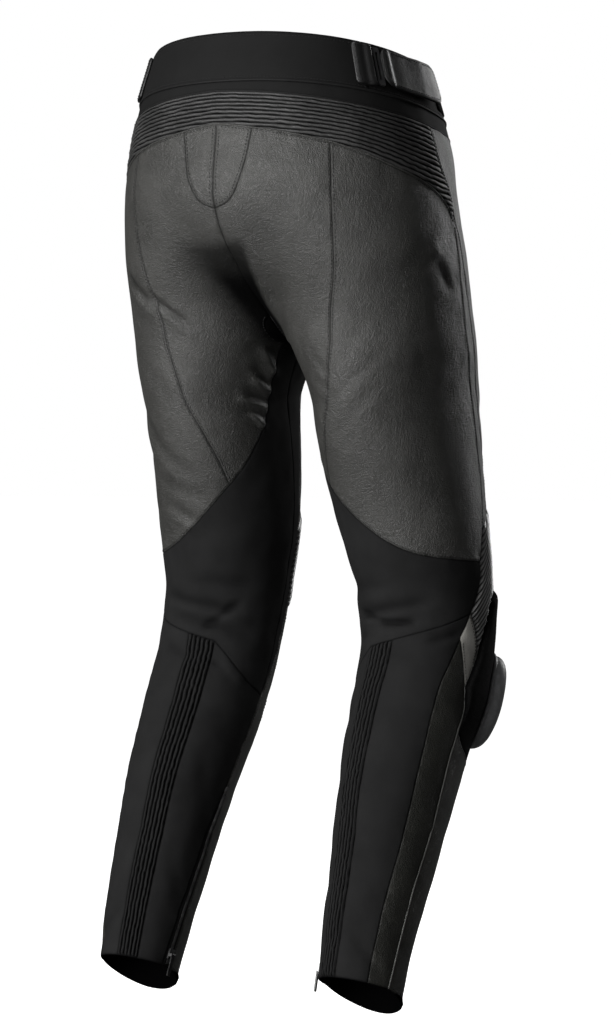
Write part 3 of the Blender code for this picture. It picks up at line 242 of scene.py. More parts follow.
class Form:
    """The cloth's own shape: a seat ring blended into a leg ring, with folds and fine relief."""

    arch_width = 0.075
    blend_over = 0.030
    crotch_spread = 0.060
    waist_slope = 0.17
    slope_fade = (0.02, 0.18)
    arch_ease = 0.15
    seat_fade = (0.0, 0.12)
    # The oval's powers across and along: behind, in front at the waist, and what the front gains
    seat_wide = (0.92, 0.75, 0.17)
    seat_deep = (0.96, 0.75, 0.21)
    inseam_width = 0.12
    inner_spread = (0.035, 0.065)
    turned_out_by = 0.33
    fold_starts = (-0.15, 0.3)
    fold_ends = (0.7, 1.15)
    inset = 3e-4
    cleft_depth = 0.011
    cleft_starts = (0.128, 0.172)
    cleft_ends = (0.205, 0.238)
    cleft_sharp = 0.014
    # The crease's width on the left at its top, and what it gains further down
    cleft_broad = (0.022, 0.018)
    cleft_broadens = (0.14, 0.21)
    # Painted shadow under the seat: where it starts and where it ends down the seat
    shadow_starts = (0.137, 0.153)
    shadow_ends = (0.234, 0.268)
    # The shadow's reach round and its fade; on the right, also what the reach gains further down
    shadow_left = (0.190, 0.150)
    shadow_right = (0.050, 0.045, 0.022)
    shadow_widens = (0.205, 0.240)
    # How dark it is at its edge, and what its core adds
    shadow_core = (0.74, 0.26)
    core_starts = (0.150, 0.185)
    core_fades = (0.03, 0.11)

    def __init__(self) -> None:
        """Draws the directions of the soft, uneven relief once, from a fixed seed."""
        pick = np.random.default_rng(11)
        self.waves = {}
        for name in ("sag", "ripple", "pucker"):
            ways = unit(pick.normal(size=(9, 3)))
            ways = ways * pick.uniform(0.75, 1.35, size=(9, 1))
            self.waves[name] = (ways, pick.uniform(0.0, 6.28, size=9))

    def seat_ring(self, turn: Array, down: Array) -> Array:
        """Half a ring of the seat: a rounded oval, deeper behind than in front.

        Args:
            turn: places round.
            down: drops below the waist seam.

        Returns:
            Points in the ring's own plane.
        """
        down = np.clip(down, TRUNK["down"][0], TRUNK["down"][-1])
        lean = np.cos(np.pi * turn)
        depth = np.where(lean > 0.0, table_curve(down, TRUNK["down"], TRUNK["back"]),
                         table_curve(down, TRUNK["down"], TRUNK["front"]))
        fade = smooth_step(down, *self.seat_fade)
        wide, deep = (np.where(lean > 0.0, behind, front + growth * fade)
                      for behind, front, growth in (self.seat_wide, self.seat_deep))
        half_width = table_curve(down, TRUNK["down"], TRUNK["half_width"])
        across = half_width * np.abs(np.sin(np.pi * turn)) ** wide
        along = depth * np.sign(lean) * np.abs(lean) ** deep
        return np.stack([across, along, np.zeros_like(across)], axis=-1)

    def leg_ring(self, turn: Array, down: Array) -> Array:
        """A whole ring of the left leg, an oval tilted across its line and turned outwards.

        Args:
            turn: places round.
            down: drops below the waist seam.

        Returns:
            Points, with z as the height above the ring's own drop.
        """
        row = np.clip(down, LEG["down"][0], LEG["down"][-1])
        value = {name: table_curve(row, LEG["down"], LEG[name]) for name in LEG_NAMES[1:]}
        centre = np.exp(-((np.minimum(turn % 1.0, 1.0 - turn % 1.0) / self.inseam_width) ** 2))
        above, below = self.inner_spread
        inner = value["inner"] * (
            centre * np.sqrt(np.clip((down - CROTCH) / self.crotch_spread, 0.0, 1.0))
            + (1.0 - centre) * smooth_step(down, CROTCH - above, CROTCH + below))
        lean = np.sin(2.0 * np.pi * turn)
        flat_x = -(value["outer"] - inner) / 2.0 * np.cos(2.0 * np.pi * turn)
        flat_y = np.where(lean > 0.0, value["back"], value["front"]) * lean
        out = np.radians(value["turn"]) * smooth_step(down, CROTCH, self.turned_out_by)
        tilt = np.radians(value["tilt"])
        across = flat_x * np.cos(out) - flat_y * np.sin(out)
        along = flat_y * np.cos(out) + flat_x * np.sin(out)
        return np.stack([(value["outer"] + inner) / 2.0 + across,
                         value["middle"] + along * np.cos(tilt), along * np.sin(tilt)], axis=-1)

    def plain(self, turn: Array, down: Array) -> Array:
        """Seat and leg blended evenly, and along the centre like a closing arch.

        Args:
            turn: places round.
            down: drops below the waist seam.

        Returns:
            Points of the form without its folds.
        """
        ease = self.arch_ease
        near = np.clip((down - SEAT_TOP) / (CROTCH - SEAT_TOP), -ease, 1.0)
        arch = np.sqrt(1.0 - np.where(near < ease, (near + ease) ** 2 / (4.0 * ease), near))
        even = 1.0 - smooth_step(down, SEAT_TOP - self.blend_over, CROTCH + self.blend_over)
        centre = np.exp(-((np.minimum(turn, 1.0 - turn) / self.arch_width) ** 2))
        part = (centre * arch + (1.0 - centre) * even)[..., None]
        seat = self.seat_ring(turn, down)
        point = part * seat + (1.0 - part) * self.leg_ring(turn, down)
        level = 1.0 - smooth_step(down, *self.slope_fade)
        point[..., 2] += self.waist_slope * seat[..., 1] * level - down
        return point

    def normal(self, turn: Array, down: Array) -> Array:
        """The outward direction: the cross product of the two slopes.

        Args:
            turn: places round.
            down: drops below the waist seam.

        Returns:
            Unit normals.
        """
        small = 2e-4
        about = self.plain(turn + small, down) - self.plain(turn - small, down)
        below = self.plain(turn, down + small) - self.plain(turn, down - small)
        return unit(np.cross(about, below))

    def fold_height(self, turn: Array, down: Array, side: Side) -> Array:
        """Sum of the folds: a bell across each line, fading at its ends.

        Args:
            turn: places round.
            down: drops below the waist seam.
            side: the side they lie on.

        Returns:
            How far the cloth is raised at each place.
        """
        total = np.zeros_like(down)
        girth = girth_at(down)
        for where, turn_1, down_1, turn_2, down_2, half_width, height in FOLDS:
            if where and where != side.value:
                continue
            away_turn = turn - turn_1
            away_turn = np.where(down > CROTCH, (away_turn + 0.5) % 1.0 - 0.5, away_turn)
            place = np.stack([away_turn * girth, down - down_1], axis=-1)
            run = np.array([(turn_2 - turn_1) * USUAL_GIRTH, down_2 - down_1])
            part = (place @ run) / (run @ run)
            near = np.clip(part, 0.0, 1.0)
            away = np.linalg.norm(place - near[..., None] * run, axis=-1)
            fade = smooth_step(part, *self.fold_starts) * (1.0 - smooth_step(part, *self.fold_ends))
            total = total + height * np.exp(-((away / half_width) ** 2)) * fade
        return total

    def cleft(self, turn: Array, down: Array, side: Side) -> Array:
        """How much of the crease beside the centre back seam stands at each place, from 0 to 1.

        A bell across the seam, broad on the left and sharp on the right, faded in down the seat.

        Args:
            turn: places round.
            down: drops below the waist seam.
            side: the side they lie on.

        Returns:
            The share at each place.
        """
        start, growth = self.cleft_broad
        width = start + growth * smooth_step(down, *self.cleft_broadens)
        width = self.cleft_sharp if side is Side.RIGHT else width
        bell = np.exp(-((turn * SEAT_GIRTH / width) ** 2))
        return bell * smooth_step(down, *self.cleft_starts) * np.where(down < CROTCH, 1.0, 0.0)

    def shadow(self, turn: Array, down: Array, side: Side) -> Array:
        """How dark the painted shadow in the deep recess under the seat is, from 0 to 1.

        A patch that starts sharply under the seat, ends sharply on the right and fades away on the left.

        Args:
            turn: places round.
            down: drops below the waist seam.
            side: the side they lie on.

        Returns:
            The darkness at each place.
        """
        reach, fade = self.shadow_left
        if side is Side.RIGHT:
            start, growth, fade = self.shadow_right
            reach = start + growth * smooth_step(down, *self.shadow_widens)
        beside = 1.0 - smooth_step(turn, reach - fade, reach)
        ends = smooth_step(down, *self.shadow_starts) * (1.0 - smooth_step(down, *self.shadow_ends))
        core = smooth_step(down, *self.core_starts) * (1.0 - smooth_step(turn, *self.core_fades))
        edge, middle = self.shadow_core
        return beside * ends * (edge + middle * core)

    def wave(self, name: str, point: Array, length: float) -> Array:
        """Soft uneven relief from -1 to 1: a sum of sine waves in nine directions."""
        ways, starts = self.waves[name]
        return np.sin(point @ (ways.T * (2.0 * np.pi / length)) + starts).sum(axis=1) / 4.0

    def cloth(self, places: Array, side: Side) -> tuple[Array, Array]:
        """Points and outward directions of the cloth.

        Args:
            places: (round, down) rows; round below 0 or above 1 goes on past the centre or inseam.
            side: the side the piece lies on; the right is the left's mirror image.

        Returns:
            The points and the unit normals.
        """
        turn, down = places[:, 0], places[:, 1]
        seat = down < CROTCH
        other = seat & ((turn < 0.0) | (turn > 1.0))
        own = np.where(seat, np.where(turn < 0.0, -turn, np.where(turn > 1.0, 2.0 - turn, turn)),
                       np.where(turn > 1.0, turn - 1.0, turn))
        inside = np.clip(own, self.inset, 1.0 - self.inset)
        point = self.plain(np.where(seat, own, inside), down)
        normal = self.normal(np.where(seat, inside, own % 1.0), down)
        on_centre = seat & (down < SEAT_TOP) & ((own < 1e-6) | (own > 1.0 - 1e-6))
        normal[on_centre, 0] = 0.0
        normal = unit(normal)
        point = point + normal * self.fold_height(own, down, side)[:, None]
        sinks = self.cleft(own, down, side) * (1.0 - smooth_step(down, *self.cleft_ends))
        point[:, 1] -= self.cleft_depth * np.where(seat, sinks, 0.0)
        flip = np.where(other, -1.0, 1.0) * side.sign
        point[:, 0] *= flip
        normal[:, 0] *= flip
        return point, normal


FORM = Form()


def pad_share(places: Array) -> Array:
    """How much of the knee base's padding stands at each place: full at its outer top, none below."""
    beside = 1.0 - smooth_step(places[:, 0], *PAD_ROUND)
    return beside * (1.0 - smooth_step(places[:, 1], *PAD_DOWN))


def girth_at(down: Array) -> Array:
    """The cloth's length for one turn of round at a drop."""
    return table_curve(down, GIRTH["down"], GIRTH["length"])


def to_flat(places: Array) -> Array:
    """(round, down) laid out flat in metres, measured from the side seam."""
    return np.stack([(places[:, 0] - 0.5) * girth_at(places[:, 1]), places[:, 1]], axis=1)


def from_flat(flat: Array) -> Array:
    """Flat metres back to (round, down)."""
    return np.stack([flat[:, 0] / girth_at(flat[:, 1]) + 0.5, flat[:, 1]], axis=1)


# Named corners of the pattern: (round, down)
CORNERS: dict[str, tuple[float, float]] = {
    "top_back": (0.0, WAIST_TOP), "top_side": (0.325, WAIST_TOP), "top_front": (1.0, WAIST_TOP),
    "waist_back": (0.0, 0.0), "waist_side": (0.325, 0.0), "waist_front": (1.0, 0.0),
    "band_back": (0.0, 0.010), "band_side": (0.490, 0.019), "band_fly": (0.955, 0.018),
    "band_front": (1.0, 0.018), "yoke_back": (0.0, 0.043), "yoke_tail": (0.065, 0.0475),
    "yoke_princess": (0.217, 0.058), "yoke_tip": (0.530, 0.120), "strip_top": (0.537, 0.099),
    "tail_low": (0.0, 0.116), "gusset_back": (0.0, 0.215), "gusset_front": (1.0, 0.206),
    "crotch_back": (0.0, CROTCH), "crotch_front": (1.0, CROTCH), "fly_low": (1.0, 0.168),
    "princess_low": (0.169, 0.384), "stretch_side": (0.535, 0.478),
    "knee_out_back": (0.556, 0.444), "knee_out_front": (0.600, 0.436), "knee_in": (0.966, 0.452),
    "base_out": (0.585, 0.521), "base_in": (0.935, 0.528), "shin_in": (0.965, 0.537),
    "fin_top": (0.497, 0.532), "fin_side": (0.522, 0.589), "fin_low": (0.505, 0.611),
    "fin_back": (0.465, 0.560), "base_low": (0.512, 0.655), "calf_in": (0.0, 0.627),
    "calf_in_front": (1.0, 0.627), "rib_out": (0.277, 0.566), "rib_in": (0.200, 0.575),
    "zip_top": (0.016, 0.720), "hem_zip_front": (0.045, HEM), "hem_zip_back": (0.078, HEM),
    "hem_rib_in": (0.183, HEM), "hem_rib_out": (0.270, HEM), "hem_calf_out": (0.395, HEM),
    "hem_shin_out": (0.476, HEM),
}

# Named seams: first corner, last corner and the places between them
SEAMS: dict[str, tuple[str, str, tuple[tuple[float, float], ...]]] = {
    "top_edge_back": ("top_back", "top_side", ()),
    "top_edge_front": ("top_side", "top_front", ()),
    "band_joint": ("top_side", "waist_side", ()),
    "band_end": ("top_front", "waist_front", ()),
    "waist_seam_back": ("waist_back", "waist_side", ()),
    "waist_seam_front": ("waist_side", "waist_front", ()),
    "piping_end": ("waist_front", "band_front", ()),
    "piping_low_back": ("band_back", "band_side", ((0.20, 0.015), (0.35, 0.018))),
    "piping_low_front": ("band_side", "band_fly", ((0.72, 0.019),)),
    "piping_low_fly": ("band_fly", "band_front", ()),
    "yoke_low_tail": ("yoke_back", "yoke_tail", ()),
    "yoke_low_seat": ("yoke_tail", "yoke_princess", ((0.14, 0.0525),)),
    "yoke_low_side": ("yoke_princess", "yoke_tip",
                      ((0.292, 0.066), (0.38, 0.0765), (0.463, 0.088), (0.508, 0.103))),
    "yoke_front": ("band_side", "strip_top", ((0.490, 0.045), (0.499, 0.063), (0.519, 0.080))),
    "yoke_end": ("strip_top", "yoke_tip", ()),
    "tail_edge": ("yoke_tail", "tail_low", ((0.055, 0.077), (0.043, 0.096), (0.026, 0.110))),
    "seat_seam_tail": ("yoke_back", "tail_low", ()),
    "seat_seam": ("tail_low", "gusset_back", ()),
    "crotch_seam_back": ("gusset_back", "crotch_back", ()),
    "princess": ("yoke_princess", "princess_low",
                 ((0.220, 0.093), (0.232, 0.136), (0.246, 0.173), (0.250, 0.211), (0.250, 0.245),
                  (0.234, 0.273), (0.215, 0.308), (0.187, 0.350))),
    "gusset_edge_back": ("gusset_back", "princess_low",
                         ((0.033, 0.228), (0.046, 0.250), (0.052, 0.298), (0.082, 0.333),
                          (0.125, 0.362))),
    "stretch_top": ("princess_low", "stretch_side",
                    ((0.208, 0.402), (0.26, 0.425), (0.315, 0.445), (0.37, 0.458), (0.42, 0.465),
                     (0.48, 0.472))),
    "strip_back": ("yoke_tip", "knee_out_back",
                   ((0.523, 0.180), (0.520, 0.230), (0.530, 0.270), (0.549, 0.310),
                    (0.565, 0.370), (0.568, 0.410))),
    "strip_front": ("strip_top", "knee_out_front",
                    ((0.546, 0.140), (0.549, 0.200), (0.556, 0.250), (0.577, 0.310),
                     (0.601, 0.370), (0.606, 0.405))),
    "strip_low": ("knee_out_back", "knee_out_front", ()),
    "knee_top": ("knee_out_front", "knee_in", ((0.69, 0.424), (0.78, 0.421), (0.88, 0.430))),
    "knee_back_high": ("knee_out_back", "stretch_side", ()),
    "knee_back_low": ("stretch_side", "fin_top", ((0.524, 0.506),)),
    "knee_inner": ("knee_in", "shin_in", ((0.970, 0.495),)),
    "knee_low": ("base_out", "base_in", ((0.66, 0.513), (0.76, 0.510), (0.86, 0.516))),
    "knee_low_inner": ("base_in", "shin_in", ()),
    "fin_front": ("fin_top", "fin_side", ((0.517, 0.553), (0.527, 0.572))),
    "base_back_high": ("base_out", "fin_side", ((0.567, 0.537), (0.545, 0.558), (0.531, 0.576))),
    "base_back_low": ("fin_side", "fin_low", ()),
    "base_back_piping": ("fin_low", "base_low", ((0.518, 0.634),)),
    "base_bottom": ("base_low", "base_in",
                    ((0.545, 0.668), (0.62, 0.676), (0.72, 0.680), (0.82, 0.672), (0.895, 0.650),
                     (0.932, 0.610), (0.942, 0.568))),
    "fin_rear": ("fin_top", "fin_back", ((0.480, 0.547),)),
    "fin_under": ("fin_back", "fin_low", ((0.477, 0.577), (0.491, 0.595))),
    "gusset_edge_front": ("gusset_front", "knee_in",
                          ((0.958, 0.216), (0.928, 0.236), (0.920, 0.270), (0.930, 0.320),
                           (0.948, 0.370), (0.962, 0.415))),
    "fly_edge": ("band_fly", "fly_low", ((0.955, 0.115), (0.974, 0.152))),
    "front_seam_fly": ("band_front", "fly_low", ()),
    "front_seam": ("fly_low", "gusset_front", ()),
    "crotch_seam_front": ("gusset_front", "crotch_front", ()),
    "inseam": ("crotch_back", "calf_in", ()),
    "shin_top_inner": ("shin_in", "calf_in_front", ((0.976, 0.583),)),
    "calf_top_outer": ("fin_top", "rib_out", ((0.44, 0.541), (0.378, 0.551))),
    "calf_top_rib": ("rib_out", "rib_in", ()),
    "calf_top_inner": ("rib_in", "calf_in", ((0.135, 0.600), (0.08, 0.616))),
    "shin_back": ("fin_back", "hem_calf_out",
                  ((0.435, 0.595), (0.421, 0.630), (0.419, 0.700), (0.418, 0.742), (0.41, 0.791),
                   (0.40, 0.835), (0.397, 0.876))),
    "shin_piping": ("base_low", "hem_shin_out",
                    ((0.506, 0.692), (0.505, 0.738), (0.497, 0.777), (0.485, 0.822),
                     (0.484, 0.869))),
    "rib_edge_out": ("rib_out", "hem_rib_out", ((0.268, 0.640), (0.266, 0.720), (0.270, 0.820))),
    "rib_edge_in": ("rib_in", "hem_rib_in", ((0.192, 0.640), (0.190, 0.720), (0.190, 0.820))),
    "shin_inner": ("calf_in", "zip_top", ((0.010, 0.672),)),
    "zip_front": ("zip_top", "hem_zip_front", ((0.020, 0.780), (0.032, 0.850))),
    "zip_back": ("zip_top", "hem_zip_back", ((0.042, 0.780), (0.061, 0.850))),
    "hem_calf_inner": ("hem_zip_back", "hem_rib_in", ()),
    "hem_rib": ("hem_rib_in", "hem_rib_out", ()),
    "hem_calf_outer": ("hem_rib_out", "hem_calf_out", ()),
    "hem_shin_outer": ("hem_calf_out", "hem_shin_out", ()),
    "hem_shin_front": ("hem_shin_out", "hem_zip_front+",
                       ((0.60, HEM + 0.008), (0.76, HEM + 0.015), (0.92, HEM + 0.008))),
    "hem_zip": ("hem_zip_front", "hem_zip_back", ()),
}


def natural_spline(value: Array, knots: Array, heights: Array) -> Array:
    """A natural cubic spline: the second slopes solve one small linear system.

    Args:
        value: where the curve is wanted.
        knots: the given places, rising.
        heights: the height at each knot.

    Returns:
        The curve's height at each value.
    """
    count = len(knots)
    gap = np.diff(knots)
    matrix = np.eye(count)
    right = np.zeros(count)
    rise = np.diff(heights) / gap
    for index in range(1, count - 1):
        last, following = gap[index - 1], gap[index]
        matrix[index, index - 1:index + 2] = (last, 2.0 * (last + following), following)
        right[index] = 6.0 * (rise[index] - rise[index - 1])
    bend = np.linalg.solve(matrix, right)
    row = np.clip(np.searchsorted(knots, value, side="right") - 1, 0, count - 2)
    after, before = value - knots[row], knots[row + 1] - value
    return ((bend[row] * before**3 + bend[row + 1] * after**3) / (6.0 * gap[row])
            + (heights[row] / gap[row] - bend[row] * gap[row] / 6.0) * before
            + (heights[row + 1] / gap[row] - bend[row + 1] * gap[row] / 6.0) * after)


def curve_places(points: list[tuple[float, float]], step: float) -> Array:
    """Places along a smooth curve through the given ones, evenly spaced on the cloth.

    Args:
        points: the given (round, down) places; two of them make a straight line.
        step: the wanted spacing in metres.

    Returns:
        (round, down) rows.
    """
    given = np.array(points, dtype=float)
    if len(given) == 2:
        fine = given[0] + np.linspace(0.0, 1.0, 80)[:, None] * (given[1] - given[0])
    else:
        chord = np.linalg.norm(np.diff(given * FLAT_SCALE, axis=0), axis=1)
        knots = np.concatenate([[0.0], np.cumsum(np.sqrt(chord))])
        along = np.linspace(0.0, knots[-1], 500)
        fine = np.stack([natural_spline(along, knots, given[:, axis]) for axis in (0, 1)], axis=1)
    solid, _ = FORM.cloth(fine, Side.LEFT)
    length = lengths_along(solid)
    marks = np.linspace(0.0, length[-1], max(2, int(round(length[-1] / step)) + 1))
    result = resampled(marks, length, fine)
    result[0], result[-1] = given[0], given[-1]
    return result


class Pattern:
    """The seams' places, and the loops that pieces are cut to."""

    step = 0.0030

    def __init__(self) -> None:
        """Samples every seam once, so both of its pieces share its places."""
        self.runs = {}
        for name, (first, last, between) in SEAMS.items():
            ends = []
            for corner in (first, last):
                turn, down = CORNERS[corner.rstrip("+")]
                ends.append((turn + (1.0 if corner.endswith("+") else 0.0), down))
            self.runs[name] = curve_places([ends[0], *between, ends[1]], self.step)

    def turned(self, name: str) -> Array:
        """A seam's places as a name asks for them.

        Args:
            name: a seam; "-" in front runs it backwards, "~" behind mirrors it over the centre back,
                and "+" behind puts it a turn further round.

        Returns:
            (round, down) rows.
        """
        run = self.runs[name.strip("-+~")]
        run = run * (-1.0, 1.0) if name.endswith("~") else run
        run = run + (1.0, 0.0) if name.endswith("+") else run
        return run[::-1] if name.startswith("-") else run

    def parts(self, names: tuple[str, ...]) -> list[tuple[str, Array]]:
        """A loop's seams in order, each turned the way the loop runs, anticlockwise.

        Args:
            names: seams in order, with their marks.

        Returns:
            Each seam's name and places.
        """
        runs = [(name.strip("-+~"), self.turned(name)) for name in names]
        ordered = [runs[0]]
        for name, run in runs[1:]:
            end = ordered[-1][1][-1]
            backwards = np.linalg.norm(run[-1] - end) < np.linalg.norm(run[0] - end)
            ordered.append((name, run[::-1] if backwards else run))
        loop = np.concatenate([run[:-1] for _, run in ordered])
        if loop_area(loop) < 0.0:
            ordered = [(name, run[::-1]) for name, run in ordered[::-1]]
        return ordered

    def height(self, name: str, value: Array, upright: bool = False) -> Array:
        """A seam's drop at a place round, or its place round at a drop.

        Args:
            name: the seam.
            value: places round, or drops if upright.
            upright: whether the seam runs down the leg.

        Returns:
            Drops, or places round if upright.
        """
        run = self.runs[name]
        key, result = (1, 0) if upright else (0, 1)
        order = np.argsort(run[:, key])
        return np.interp(value, run[order, key], run[order, result])


def both_halves(*names: str) -> tuple[str, ...]:
    """Seams down the left half, then the same ones back along the right half."""
    return (*names, *(f"{name[1:]}~" if name.startswith("-") else f"-{name}~" for name in names[::-1]))


def across_centre(*names: str) -> tuple[str, ...]:
    """Seams from the right half's end over the centre back to the left half's end."""
    return (*(f"-{name}~" for name in names[::-1]), *names)


def loop_area(loop: Array) -> float:
    """Twice a loop's signed area."""
    turned = np.roll(loop, -1, axis=0)
    return float(np.sum(loop[:, 0] * turned[:, 1] - turned[:, 0] * loop[:, 1]))


def edge_distance(flat: Array, loop: Array, batch: int = 1500) -> Array:
    """Signed distance of flat places to a flat loop: the nearest of its segments.

    Args:
        flat: the places, in metres.
        loop: the loop's corners.
        batch: how many places are worked out at once.

    Returns:
        The distances, above 0 inside.
    """
    end = np.roll(loop, -1, axis=0)
    run = end - loop
    square = np.maximum((run * run).sum(-1), 1e-14)
    rise = np.where(np.abs(run[:, 1]) < TINY, TINY, run[:, 1])
    result = np.empty(len(flat))
    for start in range(0, len(flat), batch):
        point = flat[start:start + batch, None, :]
        offset = point - loop[None]
        part = np.clip((offset * run).sum(-1) / square, 0.0, 1.0)
        away = np.sqrt(((offset - part[..., None] * run) ** 2).sum(-1).min(axis=1))
        above = (loop[None, :, 1] > point[..., 1]) != (end[None, :, 1] > point[..., 1])
        crossing = loop[None, :, 0] + (point[..., 1] - loop[None, :, 1]) / rise * run[None, :, 0]
        odd = (above & (point[..., 0] < crossing)).sum(axis=1) % 2 == 1
        result[start:start + batch] = np.where(odd, away, -away)
    return result


@dataclass(frozen=True)
class RibField:
    """Ribs of one kind: where their crests lie, and the layout in which they run straight."""

    kind: Ribs
    pattern: Pattern
    height: float = 0.0015
    sunk: float = 0.0004
    roundness: float = 2.3
    samples: int = 6
    gather: float = 0.55
    knee_pitch: float = 0.0058
    knee_top: float = 0.400
    knee_middle: float = 0.78
    knee_bow: float = 0.85
    calf_ribs: float = 6.0
    laid_pitch: float = 0.030
    wobble: float = 0.16
    swell: float = 0.45
    # Where across a rib its valley, drawn with painted shade, begins and is full
    valley: tuple[float, float] = (0.38, 0.84)

    def phase(self, places: Array) -> Array:
        """How many ribs lie above, or beside, each place; a crest is at each half.

        Args:
            places: (round, down) rows.

        Returns:
            The number at each place, with its fraction.
        """
        turn, down = places[:, 0], places[:, 1]
        if self.kind is Ribs.YOKE:
            top = self.pattern.height("piping_low_back", np.abs(turn))
            return (down - top) / self.yoke_pitch(turn)
        if self.kind is Ribs.KNEE:
            bow = self.knee_bow * (turn - self.knee_middle) ** 2
            return (down - self.knee_top - bow) / self.knee_pitch + 0.5
        inner, outer = self.calf_edges(down)
        return (turn - inner) / (outer - inner) * self.calf_ribs

    def yoke_pitch(self, turn: Array) -> Array:
        """The yoke's pitch at each place round, wider towards its tips."""
        narrow, growth, widens = 0.0039, 0.0015, (0.22, 0.50)
        return narrow + growth * smooth_step(np.abs(turn), *widens)

    def calf_edges(self, down: Array) -> tuple[Array, Array]:
        """Where round the calf strip's two edges lie at each drop."""
        return (self.pattern.height("rib_edge_in", down, upright=True),
                self.pattern.height("rib_edge_out", down, upright=True))

    def lift(self, places: Array) -> tuple[Array, Array]:
        """Rounded crests and narrow valleys, 1 - |x|^n across each rib, both slightly gathered.

        Args:
            places: (round, down) rows.

        Returns:
            The lift at each place, and how far in a valley it lies, from 0 to 1, which is its share of
            painted shade.
        """
        flat = np.stack([places[:, 0] * USUAL_GIRTH, places[:, 1], np.zeros(len(places))], axis=1)
        wave, pucker = 0.011, 0.0085
        wobble = FORM.wave("ripple", flat, wave) * self.gather
        across = np.abs(2.0 * ((self.phase(places) + self.wobble * wobble) % 1.0) - 1.0)
        crest = self.height * (1.0 + self.swell * self.gather * FORM.wave("pucker", flat, pucker))
        lift = crest * (1.0 - across**self.roundness) - self.sunk
        return lift, smooth_step(across, *self.valley)

    def layout(self, places: Array) -> Array:
        """Places laid out with the ribs straight and stretched, for even triangles.

        Args:
            places: (round, down) rows.

        Returns:
            Flat rows.
        """
        across = self.phase(places) * self.laid_pitch
        if self.kind is Ribs.CALF:
            return np.stack([across, places[:, 1]], axis=1)
        return np.stack([places[:, 0] * USUAL_GIRTH, across], axis=1)

    def places(self, loop: Array) -> Array:
        """Rows of places along the ribs over a loop's whole box.

        Args:
            loop: the piece's outline.

        Returns:
            (round, down) rows, some of them outside the outline.
        """
        low, high = loop.min(axis=0), loop.max(axis=0)
        calf_step, turn_step, spare = 0.0032, 0.0066, 8.0
        if self.kind is Ribs.CALF:
            share = np.arange(0.0, self.calf_ribs + 1e-6, 1.0 / self.samples)
            down = np.arange(low[1], high[1], calf_step)
            grid_share, grid_down = np.meshgrid(share, down)
            inner, outer = (edge[:, None] for edge in self.calf_edges(down))
            grid_turn = inner + (outer - inner) * grid_share / self.calf_ribs
            return np.stack([grid_turn, grid_down], axis=-1).reshape(-1, 2)
        turn = np.arange(low[0], high[0], turn_step)
        turns = (low[0], 0.0, 0.5, self.knee_middle, high[0])
        phases = self.phase(np.array([[at, down] for at in turns for down in (low[1], high[1])]))
        first, last = math.floor(phases.min()) - spare, math.ceil(phases.max()) + spare
        grid_turn, grid_row = np.meshgrid(turn, np.arange(first, last, 1.0 / self.samples))
        flat_turn, flat_row = grid_turn.ravel(), grid_row.ravel()
        if self.kind is Ribs.YOKE:
            top = self.pattern.height("piping_low_back", np.abs(flat_turn))
            down = top + flat_row * self.yoke_pitch(flat_turn)
        else:
            bow = self.knee_bow * (flat_turn - self.knee_middle) ** 2
            down = self.knee_top + bow + (flat_row - 0.5) * self.knee_pitch
        result = np.stack([flat_turn, down], axis=1)
        keep = (result[:, 1] > low[1]) & (result[:, 1] < high[1])
        return result[keep]


# Each kind of rib's height, how far its valleys sink, its roundness, rows to a rib and gather
RIB_SHAPES = {
    Ribs.YOKE: (0.0022, 0.0007, 2.0, 6, 0.55),
    Ribs.KNEE: (0.0027, 0.0004, 2.0, 6, 0.05),
    Ribs.CALF: (0.0026, 0.0010, 2.0, 8, 0.55),
}


@dataclass(frozen=True)
class Relief:
    """How a cut piece's surface stands off the plain form."""

    roll_depth: float = 0.0007
    roll_width: float = 0.0024
    pucker: float = 0.00042
    ripple: float = 0.00024
    sag: float = 0.0006
    raised: float = 0.0
    pad_edge: float = 0.67
    fades: tuple[float, float] = (0.010, 0.020)
    pucker_length: float = 0.015
    ripple_length: float = 0.034
    sag_length: float = 0.105

    def lift(self, point: Array, away: Array, share: Array | float = 0.0) -> Array:
        """Edges roll down into the seam, puckers fade from it, and the middle sags unevenly.

        Args:
            point: the places' points on the plain form.
            away: their distances from the piece's edge.
            share: how much of the padding stands there.

        Returns:
            The lift off the plain form.
        """
        near_edge = np.clip(1.0 - away / self.roll_width, 0.0, 1.0)
        depth = self.roll_depth + self.pad_edge * self.raised * share
        roll = -depth * (1.0 - np.sqrt(1.0 - near_edge**2))
        near, rest = (np.exp(-np.maximum(away, 0.0) / fade) for fade in self.fades)
        return (self.raised * share + roll
                + self.pucker * near * FORM.wave("pucker", point, self.pucker_length)
                + self.ripple * FORM.wave("ripple", point, self.ripple_length)
                + self.sag * (1.0 - rest) * FORM.wave("sag", point, self.sag_length))


PLAIN = Relief()
CLOTH = Relief(roll_depth=0.0008, pucker=0.00022, ripple=0.00045, sag=0.0010)
PAD = Relief(roll_depth=0.0008, roll_width=0.0060, pucker=0.0, ripple=0.0003, sag=0.0004, raised=0.0070)
PATCHED = Relief(roll_depth=0.0004, roll_width=0.0022, pucker=0.00035, ripple=0.0003, sag=0.0007)
BAND = Relief(roll_depth=0.0005, roll_width=0.0026, pucker=0.00010, ripple=0.00022, sag=0.0003)
RIBBED = Relief(roll_depth=0.0012, pucker=0.0, ripple=0.0002, sag=0.0006)


@dataclass
class Shell:
    """A finished shell's arrays."""

    points: Array
    faces: Array
    places: Array
    # How dark each point is drawn: seam lines and painted shade in their grooves, fold troughs, rib
    # valleys and under the seat
    seam: Array
    lining: Array
    area: float


